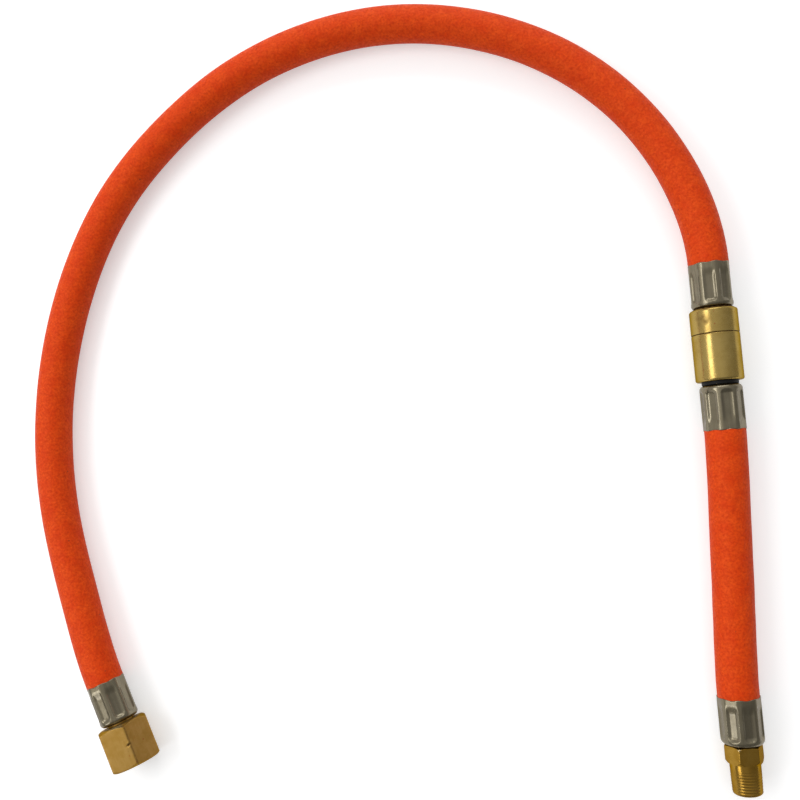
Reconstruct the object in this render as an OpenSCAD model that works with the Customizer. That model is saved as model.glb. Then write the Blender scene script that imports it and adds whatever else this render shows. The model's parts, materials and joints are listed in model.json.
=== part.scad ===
// Propane regulator hose: a long and a short length of braided gas hose, joined by a brass swivel,
// with a union nut at the inlet and a taper-threaded nipple at the outlet.
// The hose lies on the surface z = 0 in a wide arch. Millimetres, +Z up.

/* [Hose] */
// Bore of the hose
hose_bore = 6.3; // [5:0.1:8]
// Thickness of the inner rubber liner
liner_wall = 1.5; // [1:0.1:2]
// Thickness of the textile braid
braid_wall = 0.5; // [0.3:0.1:1]
// Thickness of the orange rubber cover
cover_wall = 1.5; // [1:0.1:2]
// How much a ferrule squeezes the hose, on its diameter
crimp = 1.3; // [0.8:0.1:1.8]

/* [Ferrules] */
// Length of a ferrule, mouth to closed end
ferrule_length = 15.2; // [14:0.1:20]
// Sheet thickness of a ferrule
ferrule_wall = 0.85; // [0.7:0.05:1.2]
// Thickness of the lip at the mouth
ferrule_lip = 0.25; // [0.2:0.05:0.5]
// How deep the mouth is belled
bell_depth = 1.5; // [1:0.1:2.5]
// Radius of the rounded shoulder at the closed end
shoulder_radius = 1.5; // [0.5:0.1:2]
// Thickness of the flange that locks into the tail's groove
flange_wall = 1; // [0.8:0.1:1.4]
// Number of pressed flutes
flute_count = 8; // [6:1:10]
// Depth of a flute at its middle
flute_depth = 0.5; // [0.2:0.05:0.6]
// Width of the ridge left between two flutes
ridge_width = 1.25; // [0.9:0.05:1.6]
// Distance from the mouth to the flutes
flute_start = 1.9; // [1.2:0.1:3]
// Distance from the flutes to the closed end
flute_end = 2.1; // [1.6:0.1:3.5]
// Corner radius of a flute
flute_corner = 1.5; // [0.6:0.1:1.6]

/* [Hose tails] */
// Gas bore through every brass tail
gas_bore = 3.5; // [2.5:0.1:4]
// How much larger the barbs are than the bore of the hose
barb_bite = 0.6; // [0.3:0.1:1]
// Depth of a barb's step
barb_step = 0.55; // [0.3:0.05:0.7]
// Number of barbs
barb_count = 4; // [3:1:5]
// Distance from the ferrule's mouth to the tip of the tail
tail_setback = 2; // [1.8:0.1:3]
// How much smaller than the necks the collars are, so that the nut and the sleeve slide over them
collar_step = 0.2; // [0.1:0.1:0.6]
// Depth of the groove between the collars, which holds a ferrule's flange
groove_depth = 0.7; // [0.5:0.1:0.8]
// Thickness of the inner collar, which the hose butts against
stop_collar = 1.1; // [0.8:0.1:1.6]

/* [Union nut] */
// Width across the flats
nut_flats = 17; // [16:0.5:19]
// Length of the nut
nut_length = 15.4; // [14:0.1:18]
// Thickness of the shoulder that bears on the tail
nut_shoulder = 3; // [2:0.1:4]
// Major diameter of the left-hand G 1/4 thread
thread_major = 13.157; // [13.1:0.001:13.2]
// Pitch of the same thread
thread_pitch = 1.337; // [1.2:0.001:1.4]
// Depth of the relief behind the thread, on the radius
thread_relief = 0.15; // [0.1:0.05:0.3]
// How much smaller than the flats the end face at the hose side is, inside its chamfer
nut_back_cut = 1.6; // [0.6:0.1:2.2]
// How much smaller than the flats the end face at the open side is
nut_front_cut = 0.4; // [0:0.1:1.4]
// Slope of the nut's chamfers
chamfer_slope = 30; // [20:1:40]
// Resting turn of the nut about its own axis: at 30 it lies on a flat
nut_turn = 30; // [-30:1:30]
// Gap between the ferrule and the nut
nut_gap = 0.6; // [0.3:0.1:3]
// Diameter of the tail's neck inside the nut
inlet_neck = 9; // [9:0.1:9.6]
// How much smaller than the thread the tail's flange is, which the nut pulls on
nose_flange_play = 0.35; // [0.1:0.05:0.8]
// Thickness of that flange
nose_flange_wall = 1.6; // [1:0.1:2]
// Diameter of the cone nose at its root
nose_root = 8.6; // [8:0.1:9.4]
// Diameter of the cone nose at its tip
nose_tip = 5.6; // [5:0.1:6.4]
// Included angle of the cone nose
nose_angle = 60; // [50:1:90]
// Room between the nose's tip and the first thread
nose_room = 0.3; // [0.2:0.1:1]

/* [Swivel] */
// Outside diameter of the swivel
swivel_diameter = 15.6; // [14.5:0.1:18]
// Length of the ring, the part of the body that shows
ring_length = 7.4; // [5:0.1:10]
// Length of the sleeve
sleeve_length = 15.8; // [15:0.1:20]
// Gap between the upper ferrule and the ring
ring_gap = 1.3; // [0.8:0.1:2]
// Gap between the sleeve and the lower ferrule
sleeve_gap = 1.2; // [0.8:0.1:2]
// Edge round on the ring and the sleeve
swivel_round = 0.8; // [0.3:0.1:1.2]
// Depth of the parting groove between ring and sleeve
parting_depth = 0.3; // [0.1:0.05:0.5]
// Thickness of the sleeve over the screwed joint and the dust seal
sleeve_wall = 1.6; // [1:0.1:1.8]
// Length of the screwed joint
screw_length = 5; // [4:0.1:6]
// Diameter of the stem's spigot
spigot_diameter = 7.7; // [7:0.1:8]
// Length of the spigot
spigot_length = 10; // [9:0.1:11]
// Depth of an O-ring groove
o_ring_groove_depth = 1.3; // [1:0.05:1.5]
// Width of an O-ring groove
o_ring_groove_width = 1.8; // [1.5:0.1:2.2]
// Room left in the body's bore past the spigot's end
spigot_room = 0.3; // [0.2:0.1:1]
// Distance from the spigot's end to the first O-ring groove
first_groove = 1.4; // [1:0.1:2]
// Distance from one O-ring groove to the next
groove_pitch = 3.4; // [3:0.1:4]
// How much smaller than the screwed joint the stem's collar is, which the sleeve holds
stem_collar_play = 0.3; // [0.1:0.1:0.8]
// Thickness of the stem's collar
stem_collar_wall = 2.4; // [1.8:0.1:3]
// Thickness of each thrust washer
washer_wall = 1; // [0.6:0.1:1.4]
// Thickness of the dust seal, along the stem
seal_wall = 1.3; // [0.8:0.1:2]
// Width of the dust seal, from the stem's neck to the sleeve
seal_width = 1.4; // [1.2:0.1:1.6]

/* [Outlet nipple] */
// Width across the flats of the outlet hexagon
outlet_flats = 11; // [10:0.1:12]
// How much is turned off the hexagon's corners
outlet_corner_cut = 0.2; // [0.1:0.1:1.2]
// Length of the outlet hexagon
outlet_hex_length = 5.3; // [4:0.1:8]
// How much smaller than the flats the end faces are, inside their chamfers
outlet_face_cut = 0.6; // [0.2:0.1:1.2]
// Slope of the long chamfer at the threaded side of the hexagon
outlet_front_slope = 65; // [30:1:70]
// Gap between the outlet ferrule and the hexagon
outlet_gap = 0.6; // [0.4:0.1:1]
// Gauge diameter of the 1/8 taper thread
pipe_diameter = 9.728; // [9.5:0.001:10.3]
// Length of the threaded end
pipe_length = 10.2; // [8:0.1:13]
// Chamfer at the threaded end
pipe_chamfer = 0.8; // [0.4:0.1:1.2]

/* [Layout] */
// Mouth of the inlet ferrule, left to right
inlet_x = -113; // [-115:0.1:-111]
// Mouth of the inlet ferrule, front to back
inlet_y = -42.5; // [-44:0.1:-40]
// Angle of the inlet fitting from the front
inlet_angle = 20; // [10:1:30]
// Axis of the swivel, left to right
swivel_x = 111.5; // [110:0.1:113]
// Mouth of the lower ferrule, front to back
lower_mouth_y = 31.2; // [30:0.1:33]
// Axis of the outlet fitting, left to right
outlet_x = 107.4; // [106:0.1:109]
// Mouth of the outlet ferrule, front to back
outlet_y = -55.6; // [-57:0.1:-54]
// Turn of the flutes on each ferrule: inlet, upper, lower, outlet
flute_turns = [-10, -12, -4.5, 12]; // [-22.5:0.5:22.5]
// Turn of the outlet hexagon about its axis
outlet_turn = -24; // [-30:1:30]

/* [Fits] */
// Radial clearance between pieces that turn in each other
running_gap = 0.05; // [0.02:0.01:0.08]
// Clearance between pieces that are fixed in each other
seat_gap = 0.03; // [0.02:0.01:0.05]
// Gap between a hose's cut end and the tail's inner collar
end_gap = 0.2; // [0.1:0.05:0.5]
// Radial clearance of a thrust washer round the stem
washer_gap = 0.1; // [0.05:0.01:0.2]

/* [Hidden] */
$fn = 72;

// The long hose between its mouths: left to right, front to back, lift above where it would lie.
LONG_ROUTE = [
  [-121.5, -12.5, 1.2], [-128, 18, 0.3], [-129.5, 49, 0], [-125, 80, 0], [-115, 109.5, 0],
  [-99, 136.5, 0], [-77, 158.5, 0], [-51, 175.5, 0], [-21.5, 185.5, 0], [9.5, 187.5, 0],
  [40, 181, 0], [68, 166.5, 0], [90.5, 145, 0], [105.5, 118, 0.5],
];
// The short hose between its mouths, in the same way.
SHORT_ROUTE = [
  [111.4, 25.5, 0.9], [111.2, 19.5, 0.8], [111, 14, 0.6], [110.7, 8, 0.4], [110.4, 2.5, 0.2],
  [110.1, -3.5, 0.1], [109.8, -9, 0], [109.5, -15, 0], [109.2, -21, 0], [108.8, -26.5, 0],
  [108.5, -32.5, 0], [108.1, -38, 0.1], [107.8, -44, 0.2], [107.5, -50, 0.2],
];
// Sides of a hose layer, and every which route point carries a ring on each hose.
HOSE_SIDES = 12;
LONG_RING_STEP = 1;
SHORT_RING_STEP = 5;

// Depth of a 55-degree pipe thread, as a share of its pitch.
THREAD_DEPTH = 0.6403;
// Rings at each end of a hose that lie square to the fitting: two in the ferrule, one at its mouth.
SQUARE_RINGS = 3;
// Degrees between the points of a rounded edge.
ARC_STEP = 15;
// How far a cutting shape runs past what it cuts.
OVER = 1;
// Narrowest straight edge left at a flute's end, between its two corners.
LEAST_FLAT = 0.2;
// A barb's edge and its foot, as shares of the barbs' pitch, and the plain stretch after the last.
BARB_EDGE = 0.85;
BARB_FOOT = 0.95;
PLAIN_STRETCH = 0.5;

// Radii of the hose layers, free and under a ferrule.
hose_radius = hose_bore / 2 + liner_wall + braid_wall + cover_wall;
barb_radius = (hose_bore + barb_bite) / 2;
flat_share = cos(180 / HOSE_SIDES);
free_radii = [
  hose_bore / 2,
  hose_bore / 2 + liner_wall,
  hose_bore / 2 + liner_wall + braid_wall,
  hose_radius,
];
crimped_outer = hose_radius - crimp / 2;
crimped_bore = (barb_radius + seat_gap) / flat_share;
crimp_ratio = (crimped_outer - crimped_bore) / (hose_radius - hose_bore / 2);
crimped_radii = [for (r = free_radii) crimped_bore + (r - hose_bore / 2) * crimp_ratio];

// Diameters inside the swivel, from the sleeve inwards.
screw_diameter = swivel_diameter - 2 * sleeve_wall;
chamber_radius = screw_diameter / 2 + seat_gap;
stem_collar = screw_diameter - stem_collar_play;
seal_diameter = screw_diameter;
seal_bore = seal_diameter - 2 * seal_width;
stem_neck = seal_bore - 2 * running_gap;
spigot_bore_radius = spigot_diameter / 2 + running_gap;

// Diameters of the tails' collars and grooves, and of the thread and the flange that passes it.
collar_diameter = min(inlet_neck, stem_neck) - collar_step;
groove_diameter = collar_diameter - 2 * groove_depth;
thread_minor = thread_major - 2 * THREAD_DEPTH * thread_pitch;
nose_flange = thread_minor - nose_flange_play;

// Places along a fitting, measured from the ferrule's mouth away from the hose.
ferrule_inner = crimped_outer + seat_gap;
ferrule_outer = ferrule_inner + ferrule_wall;
flange_start = ferrule_length - flange_wall;
stop_start = flange_start - seat_gap - stop_collar;
hose_end = stop_start - end_gap;
groove_end = ferrule_length + seat_gap;

// Places along the inlet fitting.
nut_start = ferrule_length + nut_gap;
nut_end = nut_start + nut_length;
nose_flange_start = nut_start + nut_shoulder + running_gap;
nose_start = nose_flange_start + nose_flange_wall;
nose_end = nose_start + (nose_root - nose_tip) / 2 / tan(nose_angle / 2);
thread_start = nose_end + nose_room;
nut_corner_radius = nut_flats / 2 / cos(30);
outlet_corners = outlet_flats / cos(30) - outlet_corner_cut;

// Places along the swivel, measured from the upper ferrule's mouth.
ring_start = ferrule_length + ring_gap;
ring_end = ring_start + ring_length;
screw_end = ring_end + screw_length;
sleeve_end = ring_end + sleeve_length;
upper_washer_start = screw_end + seat_gap;
collar_start = upper_washer_start + washer_wall + running_gap;
collar_end = collar_start + stem_collar_wall;
lower_washer_start = collar_end + running_gap;
land_start = lower_washer_start + washer_wall + seat_gap;
land_end = sleeve_end - seal_wall - seat_gap;
spigot_start = collar_start - spigot_length;
lower_ferrule_start = sleeve_end + sleeve_gap;
swivel_total = lower_ferrule_start + ferrule_length;

// Places along the outlet fitting.
outlet_hex_start = ferrule_length + outlet_gap;
outlet_hex_end = outlet_hex_start + outlet_hex_length;
outlet_end = outlet_hex_end + pipe_length;

// Heights of the three fittings' axes above the surface.
inlet_z = nut_corner_radius * cos(nut_turn);
swivel_z = max(swivel_diameter / 2, ferrule_outer);
outlet_z = max(ferrule_outer, outlet_corners / 2);
upper_mouth_y = lower_mouth_y + swivel_total;

BRASS = [0.72, 0.56, 0.24];
STEEL = [0.55, 0.53, 0.49];
ORANGE = [0.92, 0.33, 0.13];
TEXTILE = [0.86, 0.84, 0.78];
BLACK = [0.07, 0.07, 0.07];
ACETAL = [0.93, 0.92, 0.88];

// ---- placing: each fitting is built along +Z from its ferrule's mouth ----

module at_inlet() {
  translate([inlet_x, inlet_y, inlet_z])
    rotate([90, 0, inlet_angle])
      children();
}

module at_swivel() {
  translate([swivel_x, upper_mouth_y, swivel_z])
    rotate([90, 0, 0])
      children();
}

module at_lower_mouth() {
  translate([swivel_x, lower_mouth_y, swivel_z])
    rotate([-90, 0, 0])
      children();
}

module at_outlet() {
  translate([outlet_x, outlet_y, outlet_z])
    rotate([90, 0, 0])
      children();
}

// ---- shared shapes ----

// A disc or rod from one place to another along a fitting.
module rod(from, to, diameter) {
  translate([0, 0, from])
    cylinder(h = to - from, d = diameter);
}

// A ring with a round hole.
module washer(from, to, outer, inner) {
  difference() {
    rod(from, to, outer);
    rod(from - OVER, to + OVER, inner);
  }
}

// Points on an arc of a turned profile, about the place [r, z].
function arc(r, z, radius, from, to) =
  [for (a = [from:ARC_STEP:to]) [r + radius * cos(a), z + radius * sin(a)]];

// A hexagon whose corners are turned off by a cone at each end.
module turned_hexagon(from, to, flats, corners, back_face, front_face, front_slope) {
  back_depth = (corners - back_face) / 2 * tan(chamfer_slope);
  front_depth = (corners - front_face) / 2 * tan(front_slope);
  intersection() {
    translate([0, 0, from])
      rotate([0, 0, 90])
        cylinder(h = to - from, d = flats / cos(30), $fn = 6);
    rotate_extrude()
      polygon([
        [0, from],
        [back_face / 2, from],
        [corners / 2, from + back_depth],
        [corners / 2, to - front_depth],
        [front_face / 2, to],
        [0, to],
      ]);
  }
}

// The barbed stem that the hose is pushed over, with its stop collar and the flange groove.
module hose_tail() {
  root = barb_radius - barb_step;
  pitch = (stop_start - tail_setback) / (barb_count + PLAIN_STRETCH);
  rotate_extrude()
    polygon(concat(
      [[0, tail_setback]],
      [for (i = [0:barb_count - 1]) each [
        [root, tail_setback + i * pitch],
        [barb_radius, tail_setback + (i + BARB_EDGE) * pitch],
        [root, tail_setback + (i + BARB_FOOT) * pitch],
      ]],
      [
        [root, stop_start],
        [collar_diameter / 2, stop_start],
        [collar_diameter / 2, flange_start - seat_gap],
        [groove_diameter / 2, flange_start - seat_gap],
        [groove_diameter / 2, groove_end],
        [0, groove_end],
      ]
    ));
}

// The solid core that runs from a tail's inner collar through its groove into the rest of the piece.
module tail_core(to) {
  rod(stop_start, to, groove_diameter);
}

// ---- ferrules ----

// The turned cup: belled mouth, straight wall, rounded shoulder and inward flange.
module ferrule_cup() {
  hole = groove_diameter / 2 + seat_gap;
  rotate_extrude()
    polygon(concat(
      [
        [hole, flange_start],
        [ferrule_inner, flange_start],
        [ferrule_inner, bell_depth],
        [hose_radius + seat_gap, 0],
        [hose_radius + ferrule_lip, 0],
        [ferrule_outer, bell_depth / 2],
      ],
      arc(ferrule_outer - shoulder_radius, ferrule_length - shoulder_radius, shoulder_radius, 0, 90),
      [[hole, ferrule_length]]
    ));
}

// The outline of a flute, laid flat with its length along Y.
module flute_outline(width, from, to) {
  r = min(flute_corner, (width - LEAST_FLAT) / 2);
  translate([-width / 2 + r, from])
    square([width - 2 * r, to - from]);
  translate([-width / 2, from + r])
    square([width, to - from - 2 * r]);
  for (x = [-1, 1], y = [from + r, to - r])
    translate([x * (width / 2 - r), y])
      circle(r = r, $fn = 32);
}

// A crimped ferrule. The press leaves flat flutes with rounded ends and a ridge between each two.
module ferrule(turn) {
  flute_width = 2 * PI * ferrule_outer / flute_count - ridge_width;
  color(STEEL)
    difference() {
      ferrule_cup();
      for (i = [0:flute_count - 1])
        rotate([0, 0, 90 - turn + i * 360 / flute_count])
          translate([ferrule_outer - flute_depth, 0, 0])
            rotate([90, 0, 90])
              linear_extrude(height = flute_depth + OVER)
                flute_outline(flute_width, flute_start, ferrule_length - flute_end);
    }
}

// ---- inlet ----

module union_nut() {
  color(BRASS)
    at_inlet()
      rotate([0, 0, -nut_turn])
        difference() {
          turned_hexagon(nut_start, nut_end, nut_flats, 2 * nut_corner_radius,
                         nut_flats - nut_back_cut, nut_flats - nut_front_cut, chamfer_slope);
          rod(nut_start - OVER, nut_end, inlet_neck + 2 * running_gap);
          rod(nut_start + nut_shoulder, thread_start, thread_major + 2 * thread_relief);
          rod(nut_start + nut_shoulder, nut_end + OVER, thread_minor);
          mouth_chamfer(nut_end, thread_minor, thread_major);
        }
}

// The countersink at a thread's mouth, at 45 degrees.
module mouth_chamfer(end, minor, major) {
  depth = (major - minor) / 2;
  translate([0, 0, end - depth])
    cylinder(h = 2 * depth, d1 = minor, d2 = minor + 4 * depth);
}

module inlet_tail() {
  color(BRASS)
    at_inlet()
      difference() {
        union() {
          hose_tail();
          tail_core(nose_start);
          rod(groove_end, nose_start, inlet_neck);
          rod(nose_flange_start, nose_start, nose_flange);
          translate([0, 0, nose_start])
            cylinder(h = nose_end - nose_start, d1 = nose_root, d2 = nose_tip);
        }
        rod(0, nose_end + OVER, gas_bore);
      }
}

module inlet_ferrule() {
  at_inlet()
    ferrule(flute_turns[0]);
}

// ---- swivel, the half that stays with the long hose ----

module upper_ferrule() {
  at_swivel()
    ferrule(flute_turns[1]);
}

module swivel_body() {
  outer = swivel_diameter / 2;
  color(BRASS)
    at_swivel()
      difference() {
        union() {
          hose_tail();
          tail_core(screw_end);
          rod(groove_end, screw_end, collar_diameter);
          rotate_extrude()
            polygon(concat(
              [[0, ring_start]],
              arc(outer - swivel_round, ring_start + swivel_round, swivel_round, -90, 0),
              [
                [outer, ring_end - parting_depth],
                [outer - parting_depth, ring_end],
                [0, ring_end],
              ]
            ));
          rod(ring_start + swivel_round, screw_end, screw_diameter);
        }
        rod(0, screw_end + OVER, gas_bore);
        rod(spigot_start - spigot_room, screw_end + OVER, 2 * spigot_bore_radius);
      }
}

module swivel_sleeve() {
  outer = swivel_diameter / 2;
  color(BRASS)
    at_swivel()
      difference() {
        rotate_extrude()
          polygon(concat(
            [
              [0, ring_end],
              [outer - parting_depth, ring_end],
              [outer, ring_end + parting_depth],
            ],
            arc(outer - swivel_round, sleeve_end - swivel_round, swivel_round, 0, 90),
            [[0, sleeve_end]]
          ));
        rod(ring_end - OVER, land_start, 2 * chamber_radius);
        rod(ring_end - OVER, sleeve_end + OVER, seal_bore);
        rod(land_end, sleeve_end + OVER, seal_diameter + 2 * seat_gap);
      }
}

// A thrust washer round the stem, free to turn on it.
module thrust_washer(from, around) {
  color(ACETAL)
    at_swivel()
      washer(from, from + washer_wall, stem_collar, around + 2 * washer_gap);
}

module upper_thrust_washer() {
  thrust_washer(upper_washer_start, spigot_diameter);
}

module lower_thrust_washer() {
  thrust_washer(lower_washer_start, stem_neck);
}

module dust_seal() {
  color(BLACK)
    at_swivel()
      washer(land_end + seat_gap, sleeve_end, seal_diameter, seal_bore);
}

// ---- swivel, the half that turns with the short hose ----

module swivel_stem() {
  groove_floor = spigot_diameter - 2 * o_ring_groove_depth;
  color(BRASS)
    difference() {
      union() {
        at_lower_mouth() {
          hose_tail();
          tail_core(swivel_total - collar_end);
        }
        at_swivel()
          difference() {
            union() {
              rod(spigot_start, collar_end, spigot_diameter);
              rod(collar_start, collar_end, stem_collar);
              rod(collar_start, lower_ferrule_start - seat_gap, stem_neck);
            }
            for (i = [0:1])
              washer(o_ring_groove_start(i), o_ring_groove_start(i) + o_ring_groove_width,
                     spigot_diameter + OVER, groove_floor);
          }
      }
      at_swivel()
        rod(0, swivel_total, gas_bore);
    }
}

function o_ring_groove_start(i) = spigot_start + first_groove + i * groove_pitch;

// An O-ring in its groove: it fills the depth of the groove to the bore.
module o_ring(i) {
  section = o_ring_groove_depth - seat_gap;
  centre = spigot_diameter / 2 - section / 2;
  color(BLACK)
    at_swivel()
      translate([0, 0, o_ring_groove_start(i) + o_ring_groove_width / 2])
        rotate_extrude()
          translate([centre, 0])
            circle(d = section, $fn = 24);
}

module upper_o_ring() {
  o_ring(0);
}

module lower_o_ring() {
  o_ring(1);
}

module lower_ferrule() {
  at_lower_mouth()
    ferrule(flute_turns[2]);
}

// ---- outlet ----

module outlet_ferrule() {
  at_outlet()
    ferrule(flute_turns[3]);
}

module outlet_nipple() {
  color(BRASS)
    at_outlet()
      difference() {
        union() {
          hose_tail();
          tail_core(outlet_hex_end);
          rotate([0, 0, -outlet_turn])
            turned_hexagon(outlet_hex_start, outlet_hex_end, outlet_flats, outlet_corners,
                           outlet_flats - outlet_face_cut, outlet_flats - outlet_face_cut,
                           outlet_front_slope);
          rod(groove_end, outlet_end - pipe_chamfer, pipe_diameter);
          translate([0, 0, outlet_end - pipe_chamfer])
            cylinder(h = pipe_chamfer, d1 = pipe_diameter, d2 = pipe_diameter - 2 * pipe_chamfer);
        }
        rod(0, outlet_end + OVER, gas_bore);
      }
}

// ---- hoses ----

// A fitting's mouth and the direction in which the fitting goes on from it.
inlet_mouth = [inlet_x, inlet_y, inlet_z];
inlet_way = [sin(inlet_angle), -cos(inlet_angle), 0];
upper_mouth = [swivel_x, upper_mouth_y, swivel_z];
lower_mouth = [swivel_x, lower_mouth_y, swivel_z];
outlet_mouth = [outlet_x, outlet_y, outlet_z];
front = [0, -1, 0];

// A route point with its height as a place in space.
function laid(p) = [p[0], p[1], hose_radius + p[2]];

// Every step-th point of a route, its first and last among them.
function thinned(points, step) = [for (i = [0:step:len(points) - 1]) points[i]];

// The centres of the rings: into one ferrule, along the route, into the other ferrule.
function centres(start, start_way, route, step, end, end_way) =
  let (points = thinned(concat([start], [for (p = route) laid(p)], [end]), step))
  concat(
    [start + start_way * hose_end, start + start_way * bell_depth],
    points,
    [end + end_way * bell_depth, end + end_way * hose_end]
  );

function unit(v) = v / norm(v);

// The direction of the hose at a ring, from its neighbours.
function way(c, i) = unit(c[min(i + 1, len(c) - 1)] - c[max(i - 1, 0)]);

// The direction is the fitting's own at each mouth and at the rings in the ferrule.
function ring_way(c, i) =
  i < SQUARE_RINGS ? unit(c[1] - c[0]) :
  i >= len(c) - SQUARE_RINGS ? unit(c[len(c) - 1] - c[len(c) - 2]) :
  way(c, i);

function ring_radius(radii, i, count) = i < 2 || i > count - 3 ? radii[1] : radii[0];

function ring(centre, along, radius) =
  let (side = unit(cross(along, [0, 0, 1])), up = cross(side, along))
  [for (k = [0:HOSE_SIDES - 1])
    let (a = k * 360 / HOSE_SIDES)
    centre + radius * (side * cos(a) + up * sin(a))];

// One layer of a hose: outer and inner rings of each centre, and a flat ring at each end.
// Each pair of radii gives the free radius and the radius under a ferrule.
module layer(c, inner, outer) {
  n = HOSE_SIDES;
  last = len(c) - 1;
  points = [for (i = [0:last]) each concat(
    ring(c[i], ring_way(c, i), ring_radius(outer, i, len(c))),
    ring(c[i], ring_way(c, i), ring_radius(inner, i, len(c)))
  )];
  outer_faces = [for (i = [0:last - 1], k = [0:n - 1])
    let (p = 2 * n * i + k, q = 2 * n * i + (k + 1) % n)
    each [[p, p + 2 * n, q + 2 * n], [p, q + 2 * n, q]]];
  inner_faces = [for (f = outer_faces) [f[0] + n, f[2] + n, f[1] + n]];
  start_face = [for (k = [0:n - 1])
    let (p = k, q = (k + 1) % n)
    each [[p, q, q + n], [p, q + n, p + n]]];
  end_face = [for (f = start_face) [for (j = [2:-1:0]) f[j] + 2 * n * last]];
  polyhedron(points, concat(outer_faces, inner_faces, start_face, end_face));
}

function radii_of(k) = [free_radii[k], crimped_radii[k]];

long_centres = centres(inlet_mouth, inlet_way, LONG_ROUTE, LONG_RING_STEP, upper_mouth, front);
short_centres = centres(lower_mouth, -front, SHORT_ROUTE, SHORT_RING_STEP, outlet_mouth, front);

// Layers from the inside out: 0 liner, 1 braid, 2 cover.
module long_layer(k) {
  layer(long_centres, radii_of(k), radii_of(k + 1));
}

module short_layer(k) {
  layer(short_centres, radii_of(k), radii_of(k + 1));
}

module long_hose_cover() {
  color(ORANGE)
    long_layer(2);
}

module long_hose_braid() {
  color(TEXTILE)
    long_layer(1);
}

module long_hose_liner() {
  color(BLACK)
    long_layer(0);
}

module short_hose_cover() {
  color(ORANGE)
    short_layer(2);
}

module short_hose_braid() {
  color(TEXTILE)
    short_layer(1);
}

module short_hose_liner() {
  color(BLACK)
    short_layer(0);
}

union_nut();
inlet_tail();
inlet_ferrule();
long_hose_cover();
long_hose_braid();
long_hose_liner();
upper_ferrule();
swivel_body();
swivel_sleeve();
upper_thrust_washer();
lower_thrust_washer();
dust_seal();
swivel_stem();
upper_o_ring();
lower_o_ring();
lower_ferrule();
short_hose_cover();
short_hose_braid();
short_hose_liner();
outlet_ferrule();
outlet_nipple();
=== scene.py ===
# %% [markdown]
# # A gas hose with crimped fittings
# The object is an orange rubber hose in two lengths. A brass swivel joins them, and each hose end sits
# in a steel ferrule that a press has squeezed on. At one end a brass union nut turns on its tail, and
# at the other a nipple has a tapered thread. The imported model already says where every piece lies, so
# this lesson only dresses it: smooth hoses, pressed flutes, real threads and the finish of each metal.

# %% Load the frame
import json
import math

import bmesh
import bpy
import numpy as np
from mathutils import Matrix, Vector


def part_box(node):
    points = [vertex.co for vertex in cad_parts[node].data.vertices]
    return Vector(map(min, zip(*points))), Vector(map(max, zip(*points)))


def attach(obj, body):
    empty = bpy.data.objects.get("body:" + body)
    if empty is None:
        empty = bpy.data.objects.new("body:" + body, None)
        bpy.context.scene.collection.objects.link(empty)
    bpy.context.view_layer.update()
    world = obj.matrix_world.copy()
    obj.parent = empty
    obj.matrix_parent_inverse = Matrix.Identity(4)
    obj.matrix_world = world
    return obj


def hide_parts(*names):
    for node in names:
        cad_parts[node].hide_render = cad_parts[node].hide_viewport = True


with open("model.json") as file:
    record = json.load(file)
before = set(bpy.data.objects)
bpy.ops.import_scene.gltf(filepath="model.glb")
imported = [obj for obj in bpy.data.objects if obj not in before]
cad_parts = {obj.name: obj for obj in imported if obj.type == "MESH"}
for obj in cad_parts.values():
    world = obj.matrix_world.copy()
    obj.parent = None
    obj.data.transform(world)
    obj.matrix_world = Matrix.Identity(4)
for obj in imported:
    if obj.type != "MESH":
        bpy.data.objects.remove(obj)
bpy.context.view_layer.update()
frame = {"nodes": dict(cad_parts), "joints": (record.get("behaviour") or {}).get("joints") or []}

MM = 0.001
scene = bpy.context.scene

# %% [markdown]
# ## Camera
# The camera looks almost straight down on the hose from about a forearm's length. A camera can be
# aimed with a Track To constraint, but here its place and its three axes are known, so they go
# straight into its matrix. The shift stays at zero, and depth of field stays off.

# %% Camera
CAMERA_PLACE = Vector((0.05055, 0.02765, 0.319391))
CAMERA_RIGHT = Vector((0.98495, -0.07492, -0.15575))
CAMERA_BACK = Vector((0.15038, -0.07262, 0.98596))
LENS = 40.29
SENSOR_WIDTH = 36
NEAR_CLIP = 0.01


def put_in_scene(name, data):
    obj = bpy.data.objects.new(name, data)
    scene.collection.objects.link(obj)
    return obj


camera_data = bpy.data.cameras.new("camera")
camera_data.sensor_width = SENSOR_WIDTH
camera_data.lens = LENS
camera_data.clip_start = NEAR_CLIP
camera = put_in_scene("camera", camera_data)
camera_up = CAMERA_BACK.cross(CAMERA_RIGHT).normalized()
axes = Matrix((CAMERA_RIGHT, camera_up, CAMERA_BACK)).transposed()
camera.matrix_world = Matrix.Translation(CAMERA_PLACE) @ axes.to_4x4()
scene.camera = camera
print("camera height", round(CAMERA_PLACE.z, 3))

# %% [markdown]
# ## Where the fittings are
# Each fitting is a turned part on its own axis. The nut's joint in the record gives the inlet's axis,
# the other three lie along the frame's own Y axis, and their ferrules' boxes give the places of the
# mouths. A small matrix per fitting then turns "so far along the axis" into a place in the frame. Its
# columns are the side, the up direction and the way out of the hose, and its origin is the middle of
# the ferrule's mouth.

# %% Fitting axes
nut_joint = next(j for j in frame["joints"] if j["name"] == "nut_spin")


def fitting_matrix(mouth, along):
    along = Vector(along).normalized()
    side = Vector((0, 0, 1)).cross(along).normalized()
    up = along.cross(side)
    turn = Matrix((side, up, along)).transposed()
    return Matrix.Translation(mouth) @ turn.to_4x4()


def ferrule_mouth(node, front):
    low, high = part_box(node)
    middle = (low + high) / 2
    return Vector((middle.x, low.y if front else high.y, middle.z))


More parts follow.
